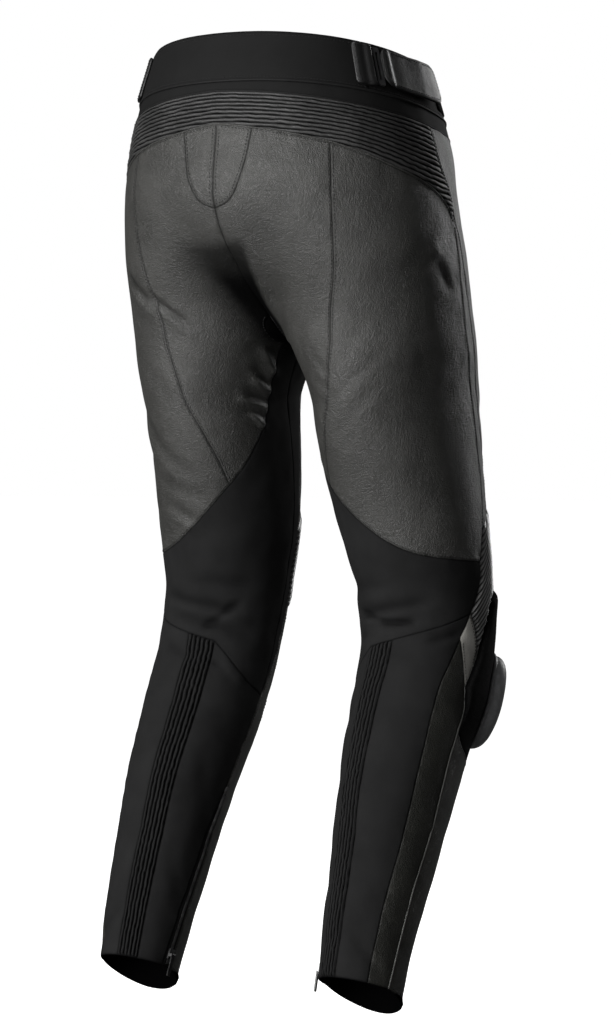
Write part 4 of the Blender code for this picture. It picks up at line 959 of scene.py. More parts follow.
def triangles_in(layout: Array, count: int) -> Array:
    """Triangles that fill a loop and use every point inside it.

    Args:
        layout: flat places, the loop's own first.
        count: how many of them are the loop's.

    Returns:
        Rows of three point numbers.
    """
    edges = [(index, (index + 1) % count) for index in range(count)]
    flat = [Vector(place) for place in layout]
    found = delaunay_2d_cdt(flat, edges, [list(range(count))], 1, 1e-8)
    origin = np.array([ids[0] if ids else -1 for ids in found[3]])
    faces = origin[np.array(found[2])]
    return faces[(faces >= 0).all(axis=1)]


def hex_places(flat_loop: Array, edge: float) -> Array:
    """Evenly staggered flat places over a loop's box.

    Args:
        flat_loop: the loop's corners.
        edge: the distance between neighbours.

    Returns:
        Flat rows.
    """
    row_share = 0.866
    low, high = flat_loop.min(axis=0), flat_loop.max(axis=0)
    rows = np.arange(low[1], high[1], edge * row_share)
    across = np.arange(low[0], high[0] + edge, edge)
    grid_x, grid_y = np.meshgrid(across, rows)
    grid_x[1::2] += edge * 0.5
    return np.stack([grid_x.ravel(), grid_y.ravel()], axis=1)


class ShellMaker:
    """Turns a loop of places into a closed shell with rolled edges."""

    rings = (0.0008, 0.0018, 0.0031)
    overlap = 0.00015
    rib_margin = 0.0006
    inner_edge = 0.014
    inner_margin = 0.008
    rim_angles = (40.0, 90.0, 140.0)
    bead = 0.0009
    rib_fade = 0.0034
    # The fold depth at which a trough's painted shade is full
    fold_full = -0.0036
    # How dark a seam line is drawn, partly painted shade in its groove, and the distance over which it
    # fades
    seam_dark = (0.78, 0.0008)
    # How dark the painted shade in fold troughs gets
    fold_painted_shade = 0.55
    # Pieces that start below this drop get the painted shadow under the seat
    under_yoke = 0.04
    hem_lining = (0.0012, 0.0020)

    def __init__(self, loop: Array, edge: float, ribs: RibField | None = None) -> None:
        """Lays out the outer and the coarser inner places once, for both sides.

        Args:
            loop: the piece's outline in (round, down), anticlockwise.
            edge: the outer skin's triangle edge.
            ribs: the ribs raised in it, if any.
        """
        self.loop = loop
        self.ribs = ribs
        self.count = len(loop)
        flat = to_flat(loop)
        ahead = unit(np.roll(flat, -1, axis=0) - np.roll(flat, 1, axis=0))
        inward = np.stack([-ahead[:, 1], ahead[:, 0]], axis=1)
        extra = []
        for ring in self.rings:
            offset = flat + inward * ring
            extra.append(offset[edge_distance(offset, flat) > ring * 0.9])
        if ribs:
            grid = to_flat(ribs.places(loop))
            margin = self.rib_margin
            extra = []
        else:
            grid = hex_places(flat, edge)
            margin = self.rings[-1] + edge * 0.55
        away = edge_distance(grid, flat)
        extra.append(grid[away > margin])
        places = from_flat(np.concatenate(extra))
        self.outer_places = np.concatenate([loop, places])
        self.away = np.maximum(edge_distance(to_flat(self.outer_places), flat), 0.0)
        self.away[:self.count] = 0.0
        layout = ribs.layout(self.outer_places) if ribs else to_flat(self.outer_places)
        self.outer_faces = triangles_in(layout, self.count)
        plain = hex_places(flat, self.inner_edge)
        plain = from_flat(plain[edge_distance(plain, flat) > self.inner_margin])
        self.inner_places = np.concatenate([loop, plain])
        self.inner_faces = triangles_in(to_flat(self.inner_places), self.count)

    def darkness(self, side: Side) -> Array:
        """How dark each outer place is drawn: the seam lines, partly painted shade in their grooves,
        painted shade in the troughs of folds, and the painted shadow under the seat.

        Args:
            side: where the piece lies.

        Returns:
            Shares from 0 to 1.
        """
        turn, down = self.outer_places.T
        below_crotch = down.min() > CROTCH
        height = FORM.fold_height(turn % 1.0 if below_crotch else turn, down, side)
        troughs = np.clip(height / self.fold_full, 0.0, 1.0)
        most, reach = self.seam_dark
        seams_and_painted_shade = np.maximum(most * np.exp(-self.away / reach), self.fold_painted_shade * troughs**2)
        one_sided = turn.min() > -1e-6
        if one_sided and down.min() > self.under_yoke:
            seams_and_painted_shade = np.maximum(seams_and_painted_shade, FORM.shadow(turn, down, side))
        return seams_and_painted_shade

    def build(self, side: Side, wall: float, relief: Relief, base: float = 0.0,
              sunk_loop: float = 1.0, bend: Callable[[Array], Array] | None = None) -> Shell:
        """The shell on one side.

        Args:
            side: where it lies.
            wall: its thickness; the outer skin is at base, the inner one a wall below it.
            relief: how its surface stands off the form.
            base: the outer skin's lift off the form.
            sunk_loop: how far its edges are drawn together past the seam line, in overlaps.
            bend: how far the whole shell stands further off at each place.

        Returns:
            The shell's arrays.
        """
        point, normal = FORM.cloth(self.outer_places, side)
        share = pad_share(self.outer_places) if relief.raised else 0.0
        lift = base + relief.lift(point, self.away, share) + (bend(self.outer_places) if bend else 0.0)
        seams_and_painted_shade = self.darkness(side)
        if self.ribs:
            ribs, valley = self.ribs.lift(self.outer_places)
            lift = lift + ribs * smooth_step(self.away, 0.0, self.rib_fade)
            # Rib valleys get painted shade
            seams_and_painted_shade = np.maximum(seams_and_painted_shade, valley)
        outer = point + normal * lift[:, None]
        rim, rim_normal = outer[:self.count].copy(), normal[:self.count]
        below, below_normal = FORM.cloth(self.inner_places, side)
        crests = np.maximum(FORM.fold_height(self.inner_places[:, 0], self.inner_places[:, 1], side), 0.0)
        drop = base - wall - crests + (bend(self.inner_places) if bend else 0.0)
        inner = below + below_normal * drop[:, None]
        inner[:self.count] = rim - rim_normal * wall
        ahead = np.roll(rim, -1, axis=0) - np.roll(rim, 1, axis=0)
        outward = unit(np.cross(ahead, rim_normal) * side.sign)
        loops = []
        middle = rim - rim_normal * wall / 2.0
        for angle in np.radians(self.rim_angles):
            loops.append(middle + rim_normal * (wall / 2.0 * math.cos(angle))
                         + outward * (min(wall / 2.0, self.bead) * math.sin(angle)))
        push = outward * self.overlap * sunk_loop
        outer[:self.count] += push
        loops = [ring + push for ring in loops]
        inner[:self.count] += push
        starts = [len(outer) + self.count * index for index in range(len(loops))]
        inner_start = len(outer) + self.count * len(loops)
        faces = [self.outer_faces, (self.inner_faces + inner_start)[:, ::-1]]
        index = np.arange(self.count)
        after = (index + 1) % self.count
        bands = [0, *starts, inner_start]
        for upper, lower in zip(bands[:-1], bands[1:]):
            faces.append(np.stack([upper + after, upper + index, lower + index], axis=1))
            faces.append(np.stack([upper + after, lower + index, lower + after], axis=1))
        faces = np.concatenate(faces)
        faces = faces[:, ::-1] if side is Side.RIGHT else faces
        places = np.concatenate([self.outer_places] + [self.loop] * len(loops) + [self.inner_places])
        # Outer skin: the dark seam lines and painted shade; rims: fully dark, as painted shade in the
        # seam gaps; inner skin: fully dark as lining
        seam = np.concatenate([seams_and_painted_shade, np.ones(self.count * len(loops) + len(inner))])
        hidden = np.concatenate([np.zeros(len(outer) + self.count * 2), np.ones(self.count + len(inner))])
        start, end = self.hem_lining
        lining = np.maximum(hidden, smooth_step(places[:, 1], HEM + start, HEM + end))
        first, second, third = (outer[self.outer_faces[:, corner]] for corner in range(3))
        area = float(np.linalg.norm(np.cross(second - first, third - first), axis=1).sum() / 2.0)
        return Shell(np.concatenate([outer, *loops, inner]), faces, places, seam, lining, area)


def make_object(name: str, points: Array, faces: Array, material: bpy.types.Material,
                uv: Array | None = None, marks: dict[str, Array] | None = None,
                smooth: bool = True) -> bpy.types.Object:
    """Puts points and triangles (or quads) into a new object at the origin.

    Args:
        name: the object's name.
        points: its points.
        faces: rows of point numbers, all of one length.
        material: its finish.
        uv: a flat place for each point, in metres.
        marks: named numbers for each point.
        smooth: whether it is shaded smooth.

    Returns:
        The object, in the scene.
    """
    mesh = bpy.data.meshes.new(name)
    size = faces.shape[1]
    mesh.vertices.add(len(points))
    mesh.vertices.foreach_set("co", points.astype(np.float32).ravel())
    mesh.loops.add(faces.size)
    mesh.loops.foreach_set("vertex_index", faces.astype(np.int32).ravel())
    mesh.polygons.add(len(faces))
    mesh.polygons.foreach_set("loop_start", np.arange(0, faces.size, size, dtype=np.int32))
    mesh.polygons.foreach_set("use_smooth", np.full(len(faces), smooth))
    mesh.update(calc_edges=True)
    if uv is not None:
        layer = mesh.uv_layers.new(name="flat")
        layer.data.foreach_set("uv", uv[faces.ravel()].astype(np.float32).ravel())
    for mark, values in (marks or {}).items():
        mesh.attributes.new(mark, "FLOAT", "POINT").data.foreach_set("value", values.astype(np.float32))
    mesh.materials.append(material)
    piece = bpy.data.objects.new(name, mesh)
    bpy.context.scene.collection.objects.link(piece)
    return piece


def feed(tree: bpy.types.NodeTree, slot: bpy.types.NodeSocket, value: object) -> None:
    """Links a Sock to a node's input, or sets the input to a plain value."""
    if isinstance(value, Sock):
        tree.links.new(value.socket, slot)
    else:
        slot.default_value = value


def feed_all(tree: bpy.types.NodeTree, node: bpy.types.Node, values: dict[str, object]) -> None:
    """Feeds a node's inputs by name, with _ for a space."""
    for key, value in values.items():
        feed(tree, node.inputs[key.replace("_", " ")], value)


class Sock:
    """A shader socket with arithmetic: each operator adds one Math node."""

    def __init__(self, tree: bpy.types.NodeTree, socket: bpy.types.NodeSocket) -> None:
        """Wraps an output socket of a node tree."""
        self.tree = tree
        self.socket = socket

    def maths(self, operation: str, *others: "Sock | float", clamp: bool = False,
              first: "Sock | float | None" = None) -> "Sock":
        """Adds a Math node on this socket.

        Args:
            operation: the node's operation.
            others: the other values or sockets.
            clamp: whether the result is kept from 0 to 1.
            first: what comes before the others, if not this socket.

        Returns:
            The result.
        """
        node = self.tree.nodes.new("ShaderNodeMath")
        node.operation = operation
        node.use_clamp = clamp
        for slot, value in zip(node.inputs, (self if first is None else first, *others)):
            feed(self.tree, slot, value)
        return Sock(self.tree, node.outputs[0])

    def __add__(self, other: "Sock | float") -> "Sock":
        """Sum."""
        return self.maths("ADD", other)

    __radd__ = __add__

    def __mul__(self, other: "Sock | float") -> "Sock":
        """Product."""
        return self.maths("MULTIPLY", other)

    __rmul__ = __mul__

    def __sub__(self, other: "Sock | float") -> "Sock":
        """Difference."""
        return self.maths("SUBTRACT", other)

    def __rsub__(self, other: float) -> "Sock":
        """Difference from a number."""
        return self.maths("SUBTRACT", self, first=other)

    def __pow__(self, other: "Sock | float") -> "Sock":
        """Power."""
        return self.maths("POWER", other)


class Paint:
    """One material's node tree, with a method for any node."""

    def __init__(self, name: str) -> None:
        """Starts an empty material with a Principled shader."""
        self.material = bpy.data.materials.new(name)
        self.material.use_nodes = True
        self.tree = self.material.node_tree
        self.shader = self.tree.nodes["Principled BSDF"]

    def node(self, kind: str, output: str | int = 0, settings: dict[str, object] | None = None,
             **values: object) -> Sock:
        """Adds a node.

        Args:
            kind: its type, without the ShaderNode prefix.
            output: the output that is wanted.
            settings: its properties, set first.
            values: numbers, colours or sockets for its inputs, by name with _ for a space.

        Returns:
            The wanted output.
        """
        made = self.tree.nodes.new(f"ShaderNode{kind}")
        for key, value in (settings or {}).items():
            setattr(made, key, value)
        feed_all(self.tree, made, values)
        return Sock(self.tree, made.outputs[output])

    def place(self) -> Sock:
        """Object coordinates."""
        return self.node("TexCoord", "Object")

    def flat(self, axis: str) -> Sock:
        """One axis of the piece's own flat map, in metres."""
        return self.node("SeparateXYZ", axis, Vector=self.node("UVMap", 0, {"uv_map": "flat"}))

    def mark(self, name: str) -> Sock:
        """A named number of the piece."""
        return self.node("Attribute", "Fac", {"attribute_name": name})

    def noise(self, scale: float, detail: float = 2.0, rough: float = 0.5) -> Sock:
        """Fractal noise on object coordinates, about 0.5."""
        return self.node("TexNoise", 0, None, Vector=self.place(), Scale=scale, Detail=detail,
                         Roughness=rough)

    def blend(self, factor: Sock, *colours: tuple[float, ...] | Sock) -> Sock:
        """Mixes two colours.

        Args:
            factor: 0 for the first colour, 1 for the last.
            colours: the first and the last, as three numbers or a socket.

        Returns:
            The mixed colour.
        """
        made = self.tree.nodes.new("ShaderNodeMix")
        made.data_type = "RGBA"
        feed(self.tree, made.inputs["Factor"], factor)
        for slot, colour in zip(made.inputs[6:8], colours):
            feed(self.tree, slot, colour if isinstance(colour, Sock) else (*colour, 1.0))
        return Sock(self.tree, made.outputs[2])

    def ramp(self, value: Sock, low: float, high: float) -> Sock:
        """0 below low and 1 above high, with a smooth step between."""
        return self.node("MapRange", 0, {"interpolation_type": "SMOOTHSTEP"}, Value=value,
                         **{"From_Min": low, "From_Max": high})

    def bump(self, height: Sock, strength: float, distance: float,
             under: Sock | None = None) -> Sock:
        """A Bump node's normal, on another one's if given."""
        extra = {"Normal": under} if under else {}
        return self.node("Bump", 0, None, Height=height, Strength=strength, Distance=distance, **extra)

    def lined(self, **values: object) -> bpy.types.Material:
        """Mixes matte black into the shader on the lining, and as the dark seam lines and painted shade
        in seams, fold troughs, rib valleys and under the seat.

        Args:
            values: numbers, colours or sockets for the shader's inputs.

        Returns:
            The material.
        """
        self.finish(**values)
        # Matte black: the lining's own colour, and painted shade where the seam mark asks for it
        black = self.node("BsdfPrincipled", "BSDF", None, Roughness=1.0,
                          Base_Color=(0.0012, 0.0012, 0.0013, 1.0), Specular_IOR_Level=0.0)
        mix = self.tree.nodes.new("ShaderNodeMixShader")
        # The seam mark holds the dark seam lines and painted shade
        depth = self.mark("lining").maths("MAXIMUM", self.mark("seam") * 0.97)
        own = Sock(self.tree, self.shader.outputs["BSDF"])
        for slot, value in zip(mix.inputs, (depth, own, black)):
            feed(self.tree, slot, value)
        self.tree.links.new(mix.outputs[0], self.tree.nodes["Material Output"].inputs["Surface"])
        return self.material

    def finish(self, **values: object) -> bpy.types.Material:
        """Sets the shader's inputs and returns the material."""
        feed_all(self.tree, self.shader, values)
        return self.material


Colour = tuple[float, float, float]


def toned(colour: Colour, share: float) -> Colour:
    """A colour made darker or lighter by a share."""
    return tuple(share * value for value in colour)


@dataclass(frozen=True)
class Leather:
    """Grained leather with a soft sheen, dark at the seams, with painted shade in their grooves and in
    folds.
    """

    name: str = "leather_hide"
    dark: Colour = (0.0190, 0.0188, 0.0170)
    light: Colour = (0.0282, 0.0279, 0.0256)
    rough: float = 0.50
    grain: float = 0.9
    specular: float = 0.5

    def material(self) -> bpy.types.Material:
        """Pebbled cells and pores as bump, slow mottling as colour."""
        paint = Paint(self.name)
        cells = paint.node("TexVoronoi", "Distance", {"feature": "DISTANCE_TO_EDGE"},
                           Vector=paint.place(), Scale=520.0, Randomness=1.0)
        pores = paint.noise(2300.0, detail=2.0, rough=0.6)
        creased = paint.noise(230.0, detail=4.0, rough=0.62)
        mottle = paint.noise(24.0, detail=4.0, rough=0.6)
        pebble = paint.ramp(cells, 0.0, 0.26)
        fine = paint.bump(pebble * 0.6 + pores * 0.35, self.grain, 0.00055)
        rolled = paint.bump(creased, 0.85 * self.grain, 0.0013, fine)
        shade = paint.blend(paint.ramp(mottle, 0.35, 0.68), self.dark, self.light)
        raised = paint.ramp(creased * 0.5 + pebble * 0.35, 0.55, 0.78)
        worn = paint.blend(raised * 0.35, shade, toned(self.light, 1.5))
        gloss = self.rough + (mottle - 0.5) * 0.10 - pebble * 0.04
        return paint.lined(Base_Color=worn, Roughness=gloss, Normal=rolled,
                           Specular_IOR_Level=self.specular)


@dataclass(frozen=True)
class Knit:
    """Matte stretch cloth or webbing with a woven surface."""

    name: str
    dark: Colour
    light: Colour
    across: float
    along: float
    rough: float = 0.88
    depth: float = 0.00014

    def material(self) -> bpy.types.Material:
        """Two crossing sine waves for the yarns, broken up by noise."""
        paint = Paint(self.name)
        drift = (paint.noise(300.0, detail=2.0) - 0.5) * 0.9
        warp = (paint.flat("X") * (FULL_TURN / self.across) + drift).maths("SINE")
        weft = (paint.flat("Y") * (FULL_TURN / self.along) + drift).maths("SINE")
        yarn = warp * weft * 0.5 + 0.5
        fuzz = paint.noise(1500.0, detail=2.0, rough=0.7)
        cloud = paint.noise(30.0, detail=3.0, rough=0.6)
        height = yarn * 0.7 + fuzz * 0.5
        shade = paint.blend(paint.ramp(height + cloud * 0.6, 0.35, 1.35), self.dark, self.light)
        return paint.lined(Base_Color=shade, Roughness=self.rough, Specular_IOR_Level=0.07,
                           Normal=paint.bump(height, 0.55, self.depth))


@dataclass(frozen=True)
class Pile:
    """Hook-and-loop tape: a dense, fuzzy mat of loops."""

    name: str = "loop_pile"
    dark: Colour = (0.0030, 0.0030, 0.0030)
    light: Colour = (0.0130, 0.0130, 0.0130)

    def material(self) -> bpy.types.Material:
        """Voronoi tufts with fuzz."""
        paint = Paint(self.name)
        tufts = paint.node("TexVoronoi", "Distance", None, Vector=paint.place(), Scale=900.0)
        fuzz = paint.noise(2600.0, detail=3.0, rough=0.7)
        height = (1.0 - tufts) * 0.7 + fuzz * 0.5
        shade = paint.blend(paint.ramp(height, 0.45, 1.0), self.dark, self.light)
        return paint.lined(Base_Color=shade, Roughness=0.95, Specular_IOR_Level=0.05,
                           Normal=paint.bump(height, 0.8, 0.0004))


@dataclass(frozen=True)
class Moulded:
    """Hard plastic or metal with a fine tooled surface and scuffs."""

    name: str
    dark: Colour
    light: Colour
    rough: float
    metallic: float = 0.0
    grain: float = 0.15

    def material(self) -> bpy.types.Material:
        """Fine speckle with long, faint scratches."""
        paint = Paint(self.name)
        speckle = paint.noise(2400.0, detail=3.0, rough=0.6)
        scuff = paint.noise(140.0, detail=5.0, rough=0.7)
        shade = paint.blend(paint.ramp(scuff, 0.4, 0.7), self.dark, self.light)
        gloss = self.rough + (scuff - 0.5) * 0.2
        return paint.finish(Base_Color=shade, Roughness=gloss, Metallic=self.metallic,
                            Normal=paint.bump(speckle * 0.6 + scuff * 0.6, self.grain, 0.00015))


@dataclass(frozen=True)
class Thread:
    """Twisted sewing thread."""

    name: str = "sewing_thread"
    colour: Colour = (0.010, 0.010, 0.010)

    def material(self) -> bpy.types.Material:
        """A fine twist across object coordinates."""
        paint = Paint(self.name)
        twist = paint.noise(3200.0, detail=1.0)
        shade = paint.blend(twist, toned(self.colour, 0.5), toned(self.colour, 1.4))
        return paint.finish(Base_Color=shade, Roughness=0.6, Specular_IOR_Level=0.2,
                            Normal=paint.bump(twist, 0.4, 0.0001))


FINISHES = {
    "leather": Leather(),
    "leather_light": Leather("leather_light_hide", (0.270, 0.262, 0.244), (0.360, 0.350, 0.325),
                             0.45, 0.4),
    "yoke": Leather("yoke_hide", (0.028, 0.028, 0.0276), (0.045, 0.0447, 0.044), 0.44, 0.5, 0.25),
    # Painted light: lighter than the other hides, so the knee ribs read as rim-lit
    "rib": Leather("rib_hide_painted_light", (0.110, 0.110, 0.109), (0.160, 0.159, 0.157), 0.26, 0.06, 0.9),
    # Painted shade: a darker copy of the hide for the shin's outer panel, which the lamps leave in shade
    "shin_painted_shade": Leather("shin_hide_painted_shade", (0.0125, 0.0126, 0.0106), (0.0190, 0.0190, 0.0162), 0.52, 0.6, 0.3),
    # Painted light: a lighter copy of the hide for the shin front, where the rim light falls
    "shin_painted_light": Leather("shin_hide_painted_light", (0.026, 0.026, 0.0225), (0.040, 0.040, 0.0350),
                          0.48, 0.6, 0.4),
    "shin_cord": Leather("cord_hide", (0.036, 0.036, 0.033), (0.056, 0.056, 0.052), 0.38, 0.2, 0.35),
    "strap": Leather("strap_hide", (0.004, 0.004, 0.0041), (0.008, 0.008, 0.0081), 0.40, 0.2),
    "stretch": Knit("stretch_cloth", (0.0054, 0.0054, 0.0055), (0.0142, 0.0142, 0.0143),
                    0.0011, 0.0009),
    "waistband": Knit("band_cloth", (0.0050, 0.0050, 0.0050), (0.0084, 0.0084, 0.0084),
                      0.0008, 0.0008, 0.74, 0.00008),
    "cord": Knit("cord_cloth", (0.006, 0.006, 0.006), (0.012, 0.012, 0.012), 0.0010, 0.0010, 0.6),
    "hook_tape": Pile(),
    "zip_tape": Knit("zip_cloth", (0.004, 0.004, 0.004), (0.009, 0.009, 0.009), 0.0009, 0.0007),
    "slider_plastic": Moulded("slider_plastic", (0.150, 0.151, 0.154), (0.200, 0.201, 0.205), 0.42),
    "buckle_plastic": Moulded("buckle_plastic", (0.020, 0.020, 0.021), (0.034, 0.034, 0.035), 0.35),
    "metal": Moulded("dark_metal", (0.10, 0.10, 0.10), (0.20, 0.20, 0.20), 0.32, 1.0),
    "pull": Moulded("black_metal", (0.030, 0.030, 0.030), (0.055, 0.055, 0.055), 0.36, 1.0),
    "thread": Thread(),
}
# Each finish's material, once it is made
MATERIALS: dict[str, bpy.types.Material] = {}


def finish_of(name: str) -> bpy.types.Material:
    """A finish's material, made once."""
    if name not in MATERIALS:
        MATERIALS[name] = FINISHES[name].material()
    return MATERIALS[name]


def settle(piece: bpy.types.Object, nodes: tuple[str, ...] = (),
           body: str = BODY) -> None:
    """Rides a piece on its body and hides the nodes it stands for.

    Args:
        piece: the piece's object.
        nodes: the nodes that it replaces.
        body: the body that it moves with.
    """
    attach(piece, body)
    if nodes:
        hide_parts(*nodes)
    LOG.info("%s: %d faces on %s", piece.name, len(piece.data.polygons), body)


def declare_cloth(shell: Shell) -> None:
    """Works out the size of the flat cut that a sewn piece's outer skin was laid out to; the result is
    not kept.

    Args:
        shell: its arrays.
    """
    relief_gain, spare, slim, filled = 1.02, 1.01, 0.32, 0.6
    flat = to_flat(shell.places)
    width, length = np.ptp(flat[:, 0]), np.ptp(flat[:, 1])
    area = shell.area / relief_gain
    if area > width * length:
        width = area / length * spare
    if area < slim * width * length:
        length, width = max(width, length), area / filled / max(width, length)


def sew(node: str, shell: Shell, finish: str, dark: float = 1.0, lined: float = 1.0) -> None:
    """Puts a cut piece in the place of its node and works out the size of its flat cut.

    Args:
        node: the node that it replaces.
        shell: its arrays.
        finish: its finish.
        dark: how much of its dark seam lines and painted shade is kept.
        lined: how much of its dark lining is kept.
    """
    # The seam mark carries the dark seam lines and painted shade into the finish
    marks = {"seam": shell.seam * dark, "lining": shell.lining * lined}
    piece = make_object(f"{node}_sewn", shell.points, shell.faces, finish_of(finish),
                        shell.places * FLAT_SCALE, marks)
    settle(piece, (node,))
    declare_cloth(shell)


def scattered(shape: Array, rows: Array, centre: Array,
              axes: tuple[Array, Array, Array]) -> tuple[Array, Array]:
    """Copies of one small shape, each at its own centre and turned to its own axes.

    Args:
        shape: the shape's points.
        rows: its faces, as rows of point numbers.
        centre: where each copy lies.
        axes: the directions of its x, y and z at each copy.

    Returns:
        The points and the faces of all the copies.
    """
    points = centre[:, None]
    for index, axis in enumerate(axes):
        points = points + axis[:, None] * shape[None, :, index:index + 1]
    faces = rows[None] + (np.arange(len(centre)) * len(shape))[:, None, None]
    return points.reshape(-1, 3), faces.reshape(-1, rows.shape[1])


def ring_faces(rings: int, sides: int) -> Array:
    """Triangles of a closed round body: bands between its rings, and a fan at each end.

    Args:
        rings: how many rings there are.
        sides: how many points each ring has. The start's tip comes after all the rings, then the end's.

    Returns:
        Rows of three point numbers.
    """
    ring, spoke = np.meshgrid(np.arange(rings - 1), np.arange(sides), indexing="ij")
    near, after = ring * sides, (spoke + 1) % sides
    far = near + sides
    first = np.stack([near + spoke, near + after, far + after], axis=-1).reshape(-1, 3)
    second = np.stack([near + spoke, far + after, far + spoke], axis=-1).reshape(-1, 3)
    index = np.arange(sides)
    after = (index + 1) % sides
    tip, last = rings * sides, (rings - 1) * sides
    start = np.stack([after, index, np.full(sides, tip)], axis=1)
    end = np.stack([last + index, last + after, np.full(sides, tip + 1)], axis=1)
    return np.concatenate([first, second, start, end])


@dataclass(frozen=True)
class Panel:
    """A cut piece: its seams in order, wall, finish and what is sewn along it."""

    name: str
    seams: tuple[str, ...]
    finish: str = "leather"
    wall: float = 0.0020
    edge: float = 0.0036
    ribs: Ribs = Ribs.NONE
    relief: Relief = PLAIN
    sides: tuple[Side, ...] = BOTH
    stitched: tuple[str, ...] = ()
    rows: tuple[float, ...] = (0.0024,)
    single: bool = False


PANELS = (
    Panel("tail_patch", ("yoke_low_tail", "tail_edge", "-seat_seam_tail"), edge=0.0026, relief=PATCHED,
          stitched=("tail_edge", "yoke_low_tail", "seat_seam_tail")),
    Panel("seat_back", ("yoke_low_seat", "princess", "-gusset_edge_back", "-seat_seam", "-tail_edge"),
          edge=0.0027,
          stitched=("yoke_low_seat", "princess", "gusset_edge_back")),
    Panel("thigh_back", ("yoke_low_side", "strip_back", "knee_back_high", "-stretch_top", "-princess"),
          edge=0.0029,
          stitched=("yoke_low_side", "strip_back", "stretch_top", "princess")),
    Panel("side_strip", ("-yoke_end", "strip_front", "-strip_low", "-strip_back"), edge=0.003,
          stitched=("strip_front",)),
    Panel("stretch_back", ("gusset_edge_back", "stretch_top", "knee_back_low", "calf_top_outer",
                           "calf_top_rib", "calf_top_inner", "-inseam", "-crotch_seam_back"),
          "stretch", 0.0018, relief=CLOTH),
    Panel("stretch_front", ("gusset_edge_front", "knee_inner", "shin_top_inner", "-inseam+",
                            "-crotch_seam_front"), "stretch", 0.0018, relief=CLOTH),
    Panel("knee_ribs", ("strip_low", "knee_top", "knee_inner", "-knee_low_inner", "-knee_low",
                        "base_back_high", "-fin_front", "-knee_back_low", "-knee_back_high"),
          "rib", ribs=Ribs.KNEE, relief=RIBBED),
    Panel("knee_fin", ("fin_rear", "fin_under", "-base_back_low", "-fin_front"), "leather_light",
          edge=0.0026, stitched=("fin_under", "fin_front")),
    Panel("slider_base", ("knee_low", "-base_bottom", "-base_back_piping", "-base_back_low",
                          "-base_back_high"), "hook_tape", relief=PAD),
    Panel("calf_inner", ("-calf_top_inner", "rib_edge_in", "-hem_calf_inner", "-zip_back",
                         "-shin_inner"), "stretch", 0.0018, relief=CLOTH),
    Panel("calf_ribs", ("-calf_top_rib", "rib_edge_out", "-hem_rib", "-rib_edge_in"), "stretch",
          0.0018, ribs=Ribs.CALF, relief=RIBBED),
    Panel("calf_outer", ("-calf_top_outer", "fin_rear", "shin_back", "-hem_calf_outer",
                         "-rib_edge_out"), "stretch", 0.0018, relief=CLOTH),
    Panel("shin_outer", ("fin_under", "base_back_piping", "shin_piping", "-hem_shin_outer",
                         "-shin_back"), "shin_painted_shade"),
    Panel("shin_front", ("base_bottom", "knee_low_inner", "shin_top_inner", "shin_inner+",
                         "zip_front+", "-hem_shin_front", "-shin_piping"), "shin_painted_light",
          stitched=("base_bottom", "shin_top_inner", "shin_inner", "zip_front", "hem_shin_front")),
    Panel("ankle_zip_tape", ("zip_back", "-hem_zip", "-zip_front"), "zip_tape", 0.0018, 0.0028,
          relief=BAND),
    Panel("waistband_front", ("top_edge_front", "band_end", "-waist_seam_front", "-band_joint"),
          "waistband", 0.0034, 0.004, relief=BAND, stitched=("top_edge_front", "waist_seam_front"),
          rows=(0.0035,)),
    Panel("waistband_back", both_halves("top_edge_back", "band_joint", "-waist_seam_back"),
          "waistband", 0.0034, 0.004, relief=BAND, sides=CENTRE_ONLY,
          stitched=("top_edge_back", "waist_seam_back", "band_joint"), rows=(0.0035,)),
    Panel("waist_piping", both_halves("waist_seam_back", "waist_seam_front", "piping_end",
                                      "-piping_low_fly", "-piping_low_front", "-piping_low_back"),
          "waistband", relief=BAND, sides=CENTRE_ONLY),
    Panel("yoke_ribs", both_halves("piping_low_back", "yoke_front", "yoke_end", "-yoke_low_side",
                                   "-yoke_low_seat", "-yoke_low_tail"),
          "yoke", ribs=Ribs.YOKE, relief=RIBBED, sides=CENTRE_ONLY),
    Panel("thigh_front", ("piping_low_front", "fly_edge", "front_seam", "gusset_edge_front",
                          "-knee_top", "-strip_front", "-yoke_front"), sides=(Side.LEFT,),
          stitched=("fly_edge", "gusset_edge_front", "knee_top", "yoke_front")),
    Panel("thigh_front", ("piping_low_front", "piping_low_fly", "front_seam_fly", "front_seam",
                          "gusset_edge_front", "-knee_top", "-strip_front", "-yoke_front"),
          sides=(Side.RIGHT,), stitched=("gusset_edge_front", "knee_top", "yoke_front")),
    Panel("fly_placket", ("piping_low_fly", "front_seam_fly", "-fly_edge"), edge=0.003,
          sides=(Side.LEFT,), stitched=("front_seam_fly",), single=True),
)


